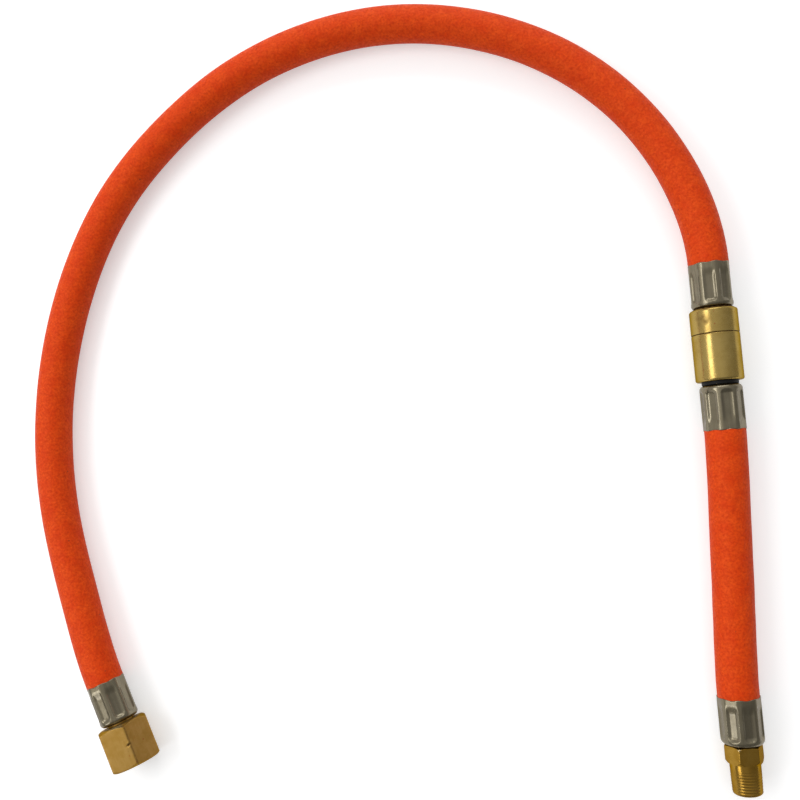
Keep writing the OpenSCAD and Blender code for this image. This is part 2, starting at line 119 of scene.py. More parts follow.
FRONT = Vector((0, -1, 0))
inlet = fitting_matrix(nut_joint["pos_m"], nut_joint["axis"])
upper = fitting_matrix(ferrule_mouth("upper_ferrule", False), FRONT)
lower = fitting_matrix(ferrule_mouth("lower_ferrule", True), -FRONT)
outlet = fitting_matrix(ferrule_mouth("outlet_ferrule", False), FRONT)
FITTINGS = {"inlet": inlet, "upper": upper, "lower": lower, "outlet": outlet}
FERRULE_LENGTH = (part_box("upper_ferrule")[1].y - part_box("upper_ferrule")[0].y) / MM
print("ferrule length", round(FERRULE_LENGTH, 2), "inlet at", [round(v, 4) for v in inlet.translation])

# %% [markdown]
# ## The routes of the two hoses
# A hose is a free cord, so its line comes before anything else. The points are few and round, and a
# clamped cubic spline goes through them: clamped means that it leaves each fitting exactly along the
# fitting's axis, as a hose does, because the crimp holds it straight. The heights are lifts above the
# surface that the hose lies on. The spline is then walked in equal steps, one step for each ring.

# %% Routes
HOSE_RADIUS = 6.65
HOSE_IN_FERRULE = (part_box("short_hose_cover")[1].y - lower.translation.y) / MM
LONG_ROUTE = [
    (-121.5, -12.5, 1.2), (-128, 18, 0.3), (-129.5, 49, 0), (-125, 80, 0), (-115, 109.5, 0),
    (-99, 136.5, 0), (-77, 158.5, 0), (-51, 175.5, 0), (-21.5, 185.5, 0), (9.5, 187.5, 0),
    (40, 181, 0), (68, 166.5, 0), (90.5, 145, 0), (105.5, 118, 0.5),
]
SHORT_ROUTE = [
    (111.4, 25.5, 0.9), (111.2, 19.5, 0.8), (111, 14, 0.6), (110.7, 8, 0.4), (110.4, 2.5, 0.2),
    (110.1, -3.5, 0.1), (109.8, -9, 0), (109.5, -15, 0), (109.2, -21, 0), (108.8, -26.5, 0),
    (108.5, -32.5, 0), (108.1, -38, 0.1), (107.8, -44, 0.2), (107.5, -50, 0.2),
]
RING_STEP = 2.5
RINGS_IN_FERRULE = 6
POINTS_PER_SPAN = 60


def clamped_spline(points, start_way, end_way, step):
    """Points at equal steps on a cubic spline whose end directions are given."""
    p = np.array(points, float)
    gaps = np.linalg.norm(np.diff(p, axis=0), axis=1)
    n = len(p)
    a = np.zeros((n, n))
    b = np.zeros((n, 3))
    a[0, 0] = 1
    b[0] = start_way
    a[-1, -1] = 1
    b[-1] = end_way
    for i in range(1, n - 1):
        before, after = gaps[i - 1], gaps[i]
        a[i, i - 1:i + 2] = [1 / before, 2 / before + 2 / after, 1 / after]
        b[i] = 3 * ((p[i] - p[i - 1]) / before ** 2 + (p[i + 1] - p[i]) / after ** 2)
    slopes = np.linalg.solve(a, b)
    dense = []
    for i in range(n - 1):
        u = np.linspace(0, 1, POINTS_PER_SPAN, endpoint=i == n - 2)[:, None]
        h00 = 2 * u ** 3 - 3 * u ** 2 + 1
        h10 = u ** 3 - 2 * u ** 2 + u
        h01 = -2 * u ** 3 + 3 * u ** 2
        h11 = u ** 3 - u ** 2
        dense.append(h00 * p[i] + h10 * gaps[i] * slopes[i] + h01 * p[i + 1] + h11 * gaps[i] * slopes[i + 1])
    dense = np.concatenate(dense)
    run = np.concatenate([[0], np.cumsum(np.linalg.norm(np.diff(dense, axis=0), axis=1))])
    even = np.linspace(0, run[-1], int(round(run[-1] / step)) + 1)
    return np.stack([np.interp(even, run, dense[:, k]) for k in range(3)], 1)


def hose_line(start, end, route):
    """The centres of a hose's rings in mm from ferrule to ferrule, and of its free ones alone."""
    from_mouth = np.array(start.translation) / MM
    to_mouth = np.array(end.translation) / MM
    out_of_start = -np.array(start.col[2][:3])
    into_end = np.array(end.col[2][:3])
    laid = [(x, y, HOSE_RADIUS + lift) for x, y, lift in route]
    free = clamped_spline([from_mouth, *laid, to_mouth], out_of_start, into_end, RING_STEP)
    depths = np.linspace(HOSE_IN_FERRULE, 0, RINGS_IN_FERRULE + 1)[:-1]
    head = np.array([from_mouth - out_of_start * d for d in depths])
    tail = np.array([to_mouth + into_end * d for d in depths[::-1]])
    return np.concatenate([head, free, tail]), free


def run_length(points):
    return float(np.linalg.norm(np.diff(points, axis=0), axis=1).sum())


long_line, long_free = hose_line(inlet, upper, LONG_ROUTE)
short_line, short_free = hose_line(lower, outlet, SHORT_ROUTE)
print("long hose free", round(run_length(long_free), 1), "cut", round(run_length(long_line), 1))
print("short hose free", round(run_length(short_free), 1), "cut", round(run_length(short_line), 1))

# %% [markdown]
# ## Small helpers for node trees
# Every tree in this lesson is built by the script. A few helpers keep that short: one adds a node and
# fills its inputs, one does a step of arithmetic, and one makes a modifier, sets its inputs by their
# identifiers and bakes the result into a plain mesh. A plain mesh is what the rest of the frame can
# move, print and export.

# %% Node helpers
WELD = 0.002 * MM


def add_node(tree, kind, inputs=None, **settings):
    node = tree.nodes.new(kind)
    for key, value in settings.items():
        setattr(node, key, value)
    for key, value in (inputs or {}).items():
        socket = node.inputs[key]
        if isinstance(value, bpy.types.NodeSocket):
            tree.links.new(value, socket)
        else:
            socket.default_value = value
    return node


def add_step(tree, kind, inputs, **settings):
    """A node of which only the first output is of use."""
    return add_node(tree, kind, inputs, **settings).outputs[0]


def reckon(tree, operation, *values):
    """One step of arithmetic on up to three numbers or sockets."""
    return add_step(tree, "ShaderNodeMath", dict(enumerate(values)), operation=operation)


def reckon_vector(tree, operation, first, second):
    return add_step(tree, "ShaderNodeVectorMath", {0: first, 1: second}, operation=operation)


def geometry_tree(name, inputs):
    """A Geometry Nodes group with the named inputs: the tree, what it is given and its result."""
    tree = bpy.data.node_groups.new(name, "GeometryNodeTree")
    tree.interface.new_socket("Geometry", in_out="INPUT", socket_type="NodeSocketGeometry")
    for label, kind in inputs.items():
        tree.interface.new_socket(label, in_out="INPUT", socket_type="NodeSocket" + kind)
    tree.interface.new_socket("Geometry", in_out="OUTPUT", socket_type="NodeSocketGeometry")
    return tree, tree.nodes.new("NodeGroupInput").outputs, tree.nodes.new("NodeGroupOutput").inputs[0]


def finish_tree(tree, geometry, finish, result):
    """Ends a tree with smooth shading, realized instances and a material."""
    shaded = add_step(tree, "GeometryNodeSetShadeSmooth", {"Geometry": geometry})
    real = add_step(tree, "GeometryNodeRealizeInstances", {0: shaded})
    done = add_step(tree, "GeometryNodeSetMaterial", {"Geometry": real, "Material": finish})
    tree.links.new(done, result)


def plain_mesh(name, source, tree, values):
    """Runs a tree on an object and returns the result as an object with a plain mesh."""
    modifier = source.modifiers.new(tree.name, "NODES")
    modifier.node_group = tree
    for item in tree.interface.items_tree:
        if item.in_out == "INPUT" and item.name in values:
            modifier[item.identifier] = values[item.name]
    bpy.context.view_layer.update()
    evaluated = source.evaluated_get(bpy.context.evaluated_depsgraph_get())
    mesh = bpy.data.meshes.new_from_object(evaluated)
    mesh.name = name
    source.modifiers.remove(modifier)
    return put_in_scene(name, mesh)


def report(obj):
    shape = bmesh.new()
    shape.from_mesh(obj.data)
    open_edges = sum(1 for e in shape.edges if len(e.link_faces) != 2)
    volume = shape.calc_volume(signed=True) / MM ** 3
    triangles = sum(len(p.vertices) - 2 for p in obj.data.polygons)
    shape.free()
    print(f"{obj.name}: {triangles} triangles, {volume:.0f} mm3, {open_edges} open edges")


print("node helpers ready")

# %% [markdown]
# ## Small helpers for materials
# A picture of rubber or brass would only look right from one side, so every finish here is made of
# nodes. Object coordinates feed noises at real sizes, and the same noises drive colour, roughness and
# bump. One millimetre is 0.001 here, so a scale of 1000 means one wave of the pattern in each
# millimetre. What belongs to one place, such as painted shade in a groove, is an attribute of the mesh.

# %% Material helpers
PER_MM = 1000.0


def new_material(name):
    material = bpy.data.materials.new(name)
    material.use_nodes = True
    tree = material.node_tree
    return material, tree, tree.nodes["Principled BSDF"]


def object_coords(tree, turned=None, stretch=None):
    """Object coordinates in metres, in a fitting's own axes if its matrix is given."""
    coords = tree.nodes.new("ShaderNodeTexCoord").outputs["Object"]
    if turned is not None:
        shifted = reckon_vector(tree, "SUBTRACT", coords, turned.translation)
        parts = [add_node(tree, "ShaderNodeVectorMath", {0: shifted, 1: turned.col[k].to_3d()},
                          operation="DOT_PRODUCT").outputs["Value"] for k in range(3)]
        coords = add_step(tree, "ShaderNodeCombineXYZ", dict(zip("XYZ", parts)))
    return coords if stretch is None else reckon_vector(tree, "MULTIPLY", coords, stretch)


def noise(tree, coords, waves_per_mm, detail=2.0, roughness=0.5):
    return add_node(tree, "ShaderNodeTexNoise", {
        "Vector": coords, "Scale": waves_per_mm * PER_MM, "Detail": detail, "Roughness": roughness,
    }).outputs["Fac"]


def specks(tree, coords, cells_per_mm):
    """The distance to the nearest of some scattered points."""
    return add_node(tree, "ShaderNodeTexVoronoi", {
        "Vector": coords, "Scale": cells_per_mm * PER_MM,
    }).outputs["Distance"]


def stored(tree, name, output="Fac"):
    return add_node(tree, "ShaderNodeAttribute", attribute_name=name).outputs[output]


def spread(tree, value, low, high, from_low=0.3, from_high=0.7):
    """Moves a pattern's middle range to the range low to high."""
    return add_node(tree, "ShaderNodeMapRange", {
        "Value": value, "From Min": from_low, "From Max": from_high, "To Min": low, "To Max": high,
    }).outputs["Result"]


def fill(tree, socket, value):
    if isinstance(value, bpy.types.NodeSocket):
        tree.links.new(value, socket)
    else:
        socket.default_value = (*value, 1) if isinstance(value, tuple) else value


def mix_colours(tree, amount, first, second):
    node = add_node(tree, "ShaderNodeMix", data_type="RGBA")
    for key, value in (("Factor", amount), ("A", first), ("B", second)):
        fill(tree, next(s for s in node.inputs if s.name == key and s.enabled), value)
    return next(s for s in node.outputs if s.enabled)


def layered(tree, base, *layers):
    """A base colour with others laid over it: each layer is (how much of it, its colour)."""
    for amount, colour in layers:
        base = mix_colours(tree, amount, base, colour)
    return base


def bump(tree, height, distance_mm, strength=1.0, normal=None):
    inputs = {"Height": height, "Distance": distance_mm * MM, "Strength": strength}
    if normal is not None:
        inputs["Normal"] = normal
    return add_node(tree, "ShaderNodeBump", inputs).outputs["Normal"]


def wire(tree, shader, **sockets):
    """Fills the shader's sockets: a key such as coat_ior stands for the socket Coat IOR."""
    for name, value in sockets.items():
        fill(tree, shader.inputs[name.replace("_", " ").title().replace("Ior", "IOR")], value)


print("material helpers ready")

# %% [markdown]
# ## Materials: rubber
# The cover is orange rubber that cured in a cloth wrap, so its skin is matte and finely grained, with
# soft mottling and a few dark specks from handling. Three noises do it: broad patches, a fine grain
# and the dimples that the cloth left. A little sheen stands for the fuzz of the skin. The liner and
# the seals are black rubber with a fainter grain.

# %% Rubber
ORANGE_DEEP = (0.77, 0.054, 0.0005)
ORANGE_BRIGHT = (0.87, 0.090, 0.0046)
ORANGE_SOILED = (0.54, 0.0315, 0.001)
SPECK_BROWN = (0.16, 0.03, 0.012)
FUZZ_TINT = (1.0, 0.50, 0.36)
BLACK_DEEP = (0.005, 0.005, 0.005)
BLACK_WORN = (0.014, 0.013, 0.012)


def make_orange_rubber():
    material, tree, shader = new_material("orange_rubber")
    coords = object_coords(tree)
    patches = noise(tree, coords, 0.22, 3.0)
    grain = noise(tree, coords, 1.2, 3.0, 0.6)
    cloth = noise(tree, coords, 0.5, 1.0)
    dark = spread(tree, specks(tree, coords, 0.16), 0.75, 0.0, 0.028, 0.055)
    colour = layered(tree, ORANGE_DEEP, (spread(tree, patches, 0, 1), ORANGE_BRIGHT),
                     (spread(tree, grain, 0, 0.8), ORANGE_SOILED), (dark, SPECK_BROWN))
    normal = bump(tree, grain, 0.18, 0.9)
    normal = bump(tree, cloth, 0.30, 0.8, normal)
    wire(tree, shader, base_color=colour, roughness=spread(tree, grain, 0.50, 0.68), normal=normal,
         specular_ior_level=0.12, sheen_weight=0.10, sheen_roughness=0.5, sheen_tint=FUZZ_TINT)
    return material


def make_black_rubber(name, roughness):
    material, tree, shader = new_material(name)
    grain = noise(tree, object_coords(tree), 2.0, 2.0)
    colour = mix_colours(tree, spread(tree, grain, 0, 1), BLACK_DEEP, BLACK_WORN)
    wire(tree, shader, base_color=colour, roughness=spread(tree, grain, roughness, roughness + 0.12),
         normal=bump(tree, grain, 0.03, 0.4), specular_ior_level=0.2)
    return material


orange_rubber = make_orange_rubber()
liner_rubber = make_black_rubber("liner_rubber", 0.45)
seal_rubber = make_black_rubber("seal_rubber", 0.50)
print("rubbers ready")

# %% [markdown]
# ## Materials: textile braid and washer plastic
# Between the liner and the cover lies a braid of pale yarn. Its yarns wind round the hose both ways
# like two screws. The hose mesh carries an attribute, `straight`, which is the place that each point
# would have if the hose were pulled straight. The angle round the hose comes from it, and two sine
# waves that climb with that angle, one each way, cross into a weave. The swivel's washers are a pale
# moulded plastic with faint clouds in it.

# %% Braid and washer plastic
YARNS_ROUND = 24
YARN_CLIMB = 2.1
YARN_SHADE = (0.42, 0.38, 0.28)
YARN_PALE = (0.72, 0.69, 0.58)
WASHER_SHADE = (0.74, 0.73, 0.68)
WASHER_PALE = (0.80, 0.79, 0.75)


def make_braid():
    material, tree, shader = new_material("textile_braid")
    x, y, z = add_node(tree, "ShaderNodeSeparateXYZ", {0: stored(tree, "straight", "Vector")}).outputs
    angle = reckon(tree, "ARCTAN2", y, x)
    waves = []
    for sense in (1, -1):
        climb = reckon(tree, "MULTIPLY", z, sense * YARN_CLIMB * PER_MM)
        waves.append(reckon(tree, "SINE", reckon(tree, "MULTIPLY_ADD", angle, YARNS_ROUND, climb)))
    weave = reckon(tree, "MAXIMUM", *waves)
    colour = mix_colours(tree, spread(tree, weave, 0, 1, -0.6, 1), YARN_SHADE, YARN_PALE)
    wire(tree, shader, base_color=colour, roughness=0.85, normal=bump(tree, weave, 0.12, 0.7))
    return material


def make_washer_plastic():
    material, tree, shader = new_material("washer_plastic")
    clouds = noise(tree, object_coords(tree), 0.9, 2.0)
    colour = mix_colours(tree, spread(tree, clouds, 0, 1), WASHER_SHADE, WASHER_PALE)
    wire(tree, shader, base_color=colour, roughness=spread(tree, clouds, 0.38, 0.48))
    return material


textile_braid = make_braid()
washer_plastic = make_washer_plastic()
print("braid and plastic ready")

# %% [markdown]
# ## Materials: brass and steel
# Both are metal, so their look is mostly roughness. A turned part has fine rings round its axis,
# and a drawn hexagon bar has streaks along it. Both come from a noise whose coordinates are stretched
# in the fitting's own axes: fine one way and long the other. A broad noise lays tarnish over the brass
# and dull zinc over the steel. An attribute of the mesh makes brass brown, dull and less metallic where
# it is above zero. This is real dirt on the swivel's wrench patch and in the nipple's thread, and painted
# shade in the gaps and grooves and on the nut's dent, corner and one facet. Below zero it makes the brass
# paler, which on the nut's rear chamfer is a painted highlight. Each metal has a tint for grazing
# light. The plating's clear skin is a thin coat: it gives the whiter glints that bare metal, which
# tints all that it reflects, can't give.

# %% Brass
TURNED = (0.02, 0.02, 6.0)
DRAWN_BAR = (1.4, 1.4, 0.10)
RED_SPOT = (0.30, 0.10, 0.03)
EDGE_BRASS = (0.52, 0.42, 0.27)
# Paler brass: a painted highlight on the nut's rear chamfer, and a paler corner on the nipple.
PALE_BRASS = (0.85, 0.74, 0.46)
# Brown for dirt, and for painted shade in gaps and grooves.
DIRT_AND_SHADE_BROWN = (0.085, 0.036, 0.007)


def make_brass(name, fitting, streaks, base, tarnish, roughness):
    """Brass with fine marks: streaks is how many waves a mm they have in each axis of the fitting."""
    material, tree, shader = new_material(name)
    coords = object_coords(tree, fitting)
    marks = noise(tree, object_coords(tree, fitting, streaks), 1.0, 3.0, 0.6)
    clouds = noise(tree, coords, 0.22, 4.0, 0.6)
    fine = noise(tree, coords, 2.2, 2.0)
    spots = spread(tree, specks(tree, coords, 0.30), 0.8, 0.0, 0.05, 0.10)
    dirt_and_painted_light = stored(tree, "dirt_and_painted_light")
    # Above zero: brown dirt and painted shade. Below zero: paler brass, which is a painted highlight on the
    # nut.
    dirt_and_shade = reckon(tree, "MULTIPLY", dirt_and_painted_light, spread(tree, noise(tree, coords, 1.1, 2.0), 0.5, 1.5))
    colour = layered(tree, base, (spread(tree, clouds, 0, 0.75, 0.4, 0.72), tarnish),
                     (spread(tree, marks, 0, 0.28), tarnish), (spots, RED_SPOT),
                     (spread(tree, dirt_and_painted_light, 1, 0, -1, 0), PALE_BRASS), (dirt_and_shade, DIRT_AND_SHADE_BROWN))
    rough = reckon(tree, "ADD", spread(tree, clouds, roughness, roughness + 0.10),
                   spread(tree, fine, -0.03, 0.05))
    rough = reckon(tree, "MULTIPLY_ADD", dirt_and_painted_light, 0.4, rough)
    normal = bump(tree, marks, 0.006, 0.5)
    normal = bump(tree, fine, 0.004, 0.5, normal)
    wire(tree, shader, base_color=colour, metallic=spread(tree, dirt_and_painted_light, 1.0, 0.25, 0, 1), roughness=rough,
         normal=normal, specular_tint=EDGE_BRASS)
    return material


nut_brass = make_brass("nut_brass", inlet, DRAWN_BAR, (0.380, 0.228, 0.064), (0.27, 0.146, 0.023), 0.30)
nipple_brass = make_brass("nipple_brass", outlet, TURNED, (0.36, 0.21, 0.038), (0.26, 0.135, 0.014), 0.15)
swivel_brass = make_brass("swivel_brass", upper, TURNED, (0.42, 0.30, 0.096), (0.32, 0.21, 0.055), 0.19)
print("brasses ready")

# %% Steel
DRAWN_SHEET = (1.3, 1.3, 0.07)
ZINC_PALE = (0.212, 0.181, 0.110)
ZINC_DULL = (0.160, 0.133, 0.074)
STREAK_GREY = (0.096, 0.072, 0.036)
POCKET_GREY = (0.11, 0.09, 0.052)
EDGE_STEEL = (0.55, 0.51, 0.45)


def make_steel(name, fitting):
    material, tree, shader = new_material(name)
    drawn = noise(tree, object_coords(tree, fitting, DRAWN_SHEET), 1.0, 3.0, 0.6)
    clouds = noise(tree, object_coords(tree, fitting), 0.25, 4.0, 0.6)
    # The pocket floors are a little darker grey.
    colour = layered(tree, ZINC_PALE, (spread(tree, clouds, 0, 1), ZINC_DULL),
                     (spread(tree, drawn, 0, 0.5), STREAK_GREY),
                     (spread(tree, stored(tree, "pressed"), 0, 0.2, 0, 1), POCKET_GREY))
    rough = reckon(tree, "ADD", spread(tree, clouds, 0.25, 0.33), spread(tree, drawn, -0.03, 0.05))
    wire(tree, shader, base_color=colour, metallic=1.0, roughness=rough, specular_tint=EDGE_STEEL,
         normal=bump(tree, drawn, 0.002, 0.5), coat_weight=0.65, coat_ior=1.7, coat_roughness=0.21)
    return material


steels = {end: make_steel("steel_" + end, matrix) for end, matrix in FITTINGS.items()}
print("steels ready")

# %% [markdown]
# ## The hoses
# Each hose has three layers: liner, braid and cover. A layer is a tube with a wall, so it is two tubes,
# one inside the other, closed at the ends. One node tree makes all six. It takes the route as a curve,
# sets a radius at every ring, sweeps a circle along it twice and merges the two at the ends, where the
# last ring of the outer tube already has the inner radius. Under a ferrule the radii ease to their
# squeezed values. The tree also stores `straight`, the place on the hose if it were pulled straight.

# %% Hose layer tree
WAVES_PER_METRE = 30.0


def store(tree, geometry, name, value, kind):
    return add_step(tree, "GeometryNodeStoreNamedAttribute", {
        "Geometry": geometry, "Name": name, "Value": value}, data_type=kind)


def fetch(tree, name, kind):
    return add_step(tree, "GeometryNodeInputNamedAttribute", {"Name": name}, data_type=kind)


def ring_radii(tree, given, length):
    """The inner and outer radius of each ring. They meet at the two tips, which closes the wall."""
    whole = add_step(tree, "GeometryNodeCurveLength", {0: given["Geometry"]})
    nearest = reckon(tree, "MINIMUM", length, reckon(tree, "SUBTRACT", whole, length))
    eased_end = reckon(tree, "ADD", given["Squeezed Length"], given["Ease"])
    wave = add_node(tree, "ShaderNodeTexNoise", {"W": length, "Scale": WAVES_PER_METRE, "Detail": 1.0},
                    noise_dimensions="1D").outputs["Fac"]
    wave = reckon(tree, "SUBTRACT", wave, 0.5)
    radii = []
    for label in ("Inner", "Outer"):
        eased = add_node(tree, "ShaderNodeMapRange", {
            "Value": nearest, "From Min": given["Squeezed Length"], "From Max": eased_end,
            "To Min": given["Squeezed " + label], "To Max": given[label],
        }, interpolation_type="SMOOTHSTEP").outputs["Result"]
        radii.append(reckon(tree, "MULTIPLY_ADD", wave, given["Waviness"], eased))
    inner, outer = radii
    index = tree.nodes.new("GeometryNodeInputIndex").outputs[0]
    count = add_node(tree, "GeometryNodeAttributeDomainSize", {0: given["Geometry"]}, component="CURVE")
    last = reckon(tree, "SUBTRACT", count.outputs["Point Count"], 1.5)
    at_start = reckon(tree, "LESS_THAN", index, 0.5)
    tip = reckon(tree, "ADD", at_start, reckon(tree, "GREATER_THAN", index, last))
    return inner, reckon(tree, "MULTIPLY_ADD", tip, reckon(tree, "SUBTRACT", inner, outer), outer)


def make_hose_tree():
    tree, given, result = geometry_tree("hose layer", {
        "Outer": "Float", "Inner": "Float", "Squeezed Outer": "Float", "Squeezed Inner": "Float",
        "Squeezed Length": "Float", "Ease": "Float", "Waviness": "Float", "Sides": "Int",
        "Finish": "Material",
    })
    length = tree.nodes.new("GeometryNodeSplineParameter").outputs["Length"]
    inner, outer = ring_radii(tree, given, length)
    circle = add_step(tree, "GeometryNodeCurvePrimitiveCircle", {"Resolution": given["Sides"], "Radius": 1.0})
    round_place = tree.nodes.new("GeometryNodeInputPosition").outputs[0]
    circle = store(tree, circle, "around", round_place, "FLOAT_VECTOR")

    def tube(ring_radius):
        along = store(tree, given["Geometry"], "along", length, "FLOAT")
        swept = add_step(tree, "GeometryNodeCurveToMesh", {
            "Curve": along, "Profile Curve": circle, "Scale": ring_radius})
        around = fetch(tree, "around", "FLOAT_VECTOR")
        scaled = add_step(tree, "ShaderNodeVectorMath", {0: around, "Scale": HOSE_RADIUS * MM},
                          operation="SCALE")
        lifted = add_step(tree, "ShaderNodeCombineXYZ", {"Z": fetch(tree, "along", "FLOAT")})
        straight = reckon_vector(tree, "ADD", scaled, lifted)
        return store(tree, swept, "straight", straight, "FLOAT_VECTOR")

    bore = add_step(tree, "GeometryNodeFlipFaces", {0: tube(inner)})
    both = tree.nodes.new("GeometryNodeJoinGeometry")
    tree.links.new(bore, both.inputs[0])
    tree.links.new(tube(outer), both.inputs[0])
    closed = add_step(tree, "GeometryNodeMergeByDistance", {"Geometry": both.outputs[0], "Distance": WELD})
    finish_tree(tree, closed, given["Finish"], result)
    return tree


hose_tree = make_hose_tree()
print("hose tree has", len(hose_tree.nodes), "nodes")

# %% [markdown]
# ## The layers of both hoses
# The six layers differ only in their radii and finish, so a loop runs the tree once for each. The
# route has one more point just past each end, for the ring that closes the wall. Rubber isn't
# quite even, and a slow wave in the radius shows that.

# %% Hose layers
HOSE_BORE_RADIUS = 3.15
LAYER_RADII = [HOSE_BORE_RADIUS, 4.65, 5.15, HOSE_RADIUS]
LAYER_FINISHES = {"liner": liner_rubber, "braid": textile_braid, "cover": orange_rubber}
BARB_RADIUS = 3.60
SQUEEZED_COVER = 6.0
SQUEEZE_EASE = 1.6
WAVINESS = 0.16
HOSE_SIDES = 64
END_SLIP = 0.01


def route_curve(name, line):
    """A poly curve through the ring centres, with one extra point just past each end."""
    first_way = (line[0] - line[1]) / np.linalg.norm(line[0] - line[1])
    last_way = (line[-1] - line[-2]) / np.linalg.norm(line[-1] - line[-2])
    points = np.concatenate([[line[0] + first_way * END_SLIP], line, [line[-1] + last_way * END_SLIP]]) * MM
    data = bpy.data.curves.new(name, "CURVE")
    data.dimensions = "3D"
    spline = data.splines.new("POLY")
    spline.points.add(len(points) - 1)
    for point, place in zip(spline.points, points):
        point.co = (*place, 1)
    return put_in_scene(name, data)


def squeezed(radius):
    """Where a layer's radius goes under a ferrule."""
    share = (radius - HOSE_BORE_RADIUS) / (HOSE_RADIUS - HOSE_BORE_RADIUS)
    return BARB_RADIUS + share * (SQUEEZED_COVER - BARB_RADIUS)


def make_hose(name, line):
    layers = {}
    curve = route_curve(name + "_route", line)
    for (layer, finish), inner, outer in zip(LAYER_FINISHES.items(), LAYER_RADII, LAYER_RADII[1:]):
        layers[layer] = plain_mesh(f"{name}_{layer}_skin", curve, hose_tree, {
            "Outer": outer * MM, "Inner": inner * MM,
            "Squeezed Outer": squeezed(outer) * MM, "Squeezed Inner": squeezed(inner) * MM,
            "Squeezed Length": (HOSE_IN_FERRULE - SQUEEZE_EASE) * MM, "Ease": SQUEEZE_EASE * MM,
            "Waviness": WAVINESS * MM, "Sides": HOSE_SIDES, "Finish": finish,
        })
        report(layers[layer])
    bpy.data.objects.remove(curve)
    return layers


long_hose = make_hose("long_hose", long_line)
short_hose = make_hose("short_hose", short_line)

# %% [markdown]
# ## Turned pieces as one closed skin
# Nut, nipple, swivel and ferrules all have a hole right through, so each is a closed band of rings:
# out along the outside, in over the end, back through the hole. A grid of points, wrapped round both
# ways, makes exactly that with no seam and no pole. A radius may depend on the angle, which gives
# hexagons, flutes and threads from the same few lines.

# %% Skins
SEAT = 0.03


def turns(columns):
    """The angle of each column from straight up, in radians."""
    return np.linspace(0, 2 * math.pi, columns, endpoint=False)


def angle_from(angles, degrees):
    """How far each angle lies from a direction, from minus half a turn to half a turn."""
    return (angles - math.radians(degrees) + math.pi) % (2 * math.pi) - math.pi


def steps(start, end, spacing):
    count = max(2, int(round(abs(end - start) / spacing)) + 1)
    return np.linspace(start, end, count)


def rounded_edge(radius, from_angle, to_angle, r, z, count=6):
    """Rings on a quarter round of a turned edge, about the place (r, z)."""
    return [(z + radius * math.sin(a), r + radius * math.cos(a))
            for a in np.radians(np.linspace(from_angle, to_angle, count))]


def face_outwards(mesh):
    shape = bmesh.new()
    shape.from_mesh(mesh)
    if shape.calc_volume(signed=True) < 0:
        bmesh.ops.reverse_faces(shape, faces=shape.faces)
    shape.to_mesh(mesh)
    shape.free()


def mark(mesh, name, values):
    attribute = mesh.attributes.new(name, "FLOAT", "POINT")
    attribute.data.foreach_set("value", np.concatenate(values).astype(np.float32))


def skin(name, rings, matrix, columns, finish):
    """A closed mesh from rings: (place along the axis, radius) and its dirt and painted light, if any."""
    angles = turns(columns)
    rows, dirt_and_painted_light = [], []
    for along, radius, *dirt_and_light_marks in rings:
        radius = np.broadcast_to(radius, angles.shape)
        rows.append(np.stack([radius * np.sin(angles), radius * np.cos(angles), np.full(columns, along)], 1))
        dirt_and_painted_light.append(np.broadcast_to(dirt_and_light_marks[0] if dirt_and_light_marks else 0.0, angles.shape))
    i, k = np.meshgrid(np.arange(len(rings)), np.arange(columns), indexing="ij")
    row, next_row = i * columns, (i + 1) % len(rings) * columns
    next_k = (k + 1) % columns
    faces = np.stack([row + k, row + next_k, next_row + next_k, next_row + k], -1).reshape(-1, 4)
    mesh = bpy.data.meshes.new(name)
    mesh.from_pydata((np.concatenate(rows) * MM).tolist(), [], faces.tolist())
    mesh.transform(matrix)
    face_outwards(mesh)
    mark(mesh, "dirt_and_painted_light", dirt_and_painted_light)
    mesh.shade_smooth()
    mesh.materials.append(finish)
    return put_in_scene(name, mesh)


print("skin helper ready")

# %% [markdown]
# ## The ferrules
# A ferrule starts as a plain steel cup. The press pushes eight jaws into it, and each jaw leaves a flat
# flute: crisp and round-cornered at the closed end, and fading out towards the mouth, where the metal
# is free to spring and its edge waves in low scallops. The flutes are all alike, so only one eighth is
# modelled. A `pressed` attribute on each point tells the steel's material where the pockets are, and
# the material makes them a little darker grey.

# %% One eighth of a ferrule
FLUTES = 8
FERRULE_OUTER = 6.88
FERRULE_INNER = 6.03
FERRULE_HOLE = 3.73
FLANGE = 1.0
SHOULDER = 1.5
FLAT_DEPTH = 0.26
POCKET_DEPTH = 0.50
POCKET_HALF_WIDTH = 2.05
POCKET_CORNER = 1.5
POCKET_WALL = 1.05
POCKET_TOP = 1.75
POCKET_START = 1.5
POCKET_FADE = 3.6
FLAT_END = 1.6
SCALLOP = 0.28
SCALLOP_FADE = 3.0
FLUTE_EDGE = 0.12
LIP_ROUND = [(0.0, 0.14), (0.04, 0.06), (0.12, 0.0)]
HOLE_EDGE = 0.12
SECTOR_COLUMNS = 36


def smooth(t):
    t = np.clip(t, 0, 1)
    return t * t * (3 - 2 * t)


def soft_min(a, b, width):
    """The smaller of two values, with the edge between them rounded over a width."""
    h = np.clip(0.5 + 0.5 * (b - a) / width, 0, 1)
    return b + (a - b) * h - width * h * (1 - h)


def pocket(x, z):
    """How far a jaw has pressed its pocket, from 0 at the rim to 1 on the floor."""
    corner_x = np.maximum(np.abs(x) - (POCKET_HALF_WIDTH - POCKET_CORNER), 0)
    corner_z = np.maximum(z - (FERRULE_LENGTH - POCKET_TOP - POCKET_CORNER), 0)
    inside = POCKET_CORNER - np.hypot(corner_x, corner_z)
    wall = 1 - (1 - np.clip(inside / POCKET_WALL, 0, 1)) ** 2
    return wall * smooth((z - POCKET_START) / POCKET_FADE)


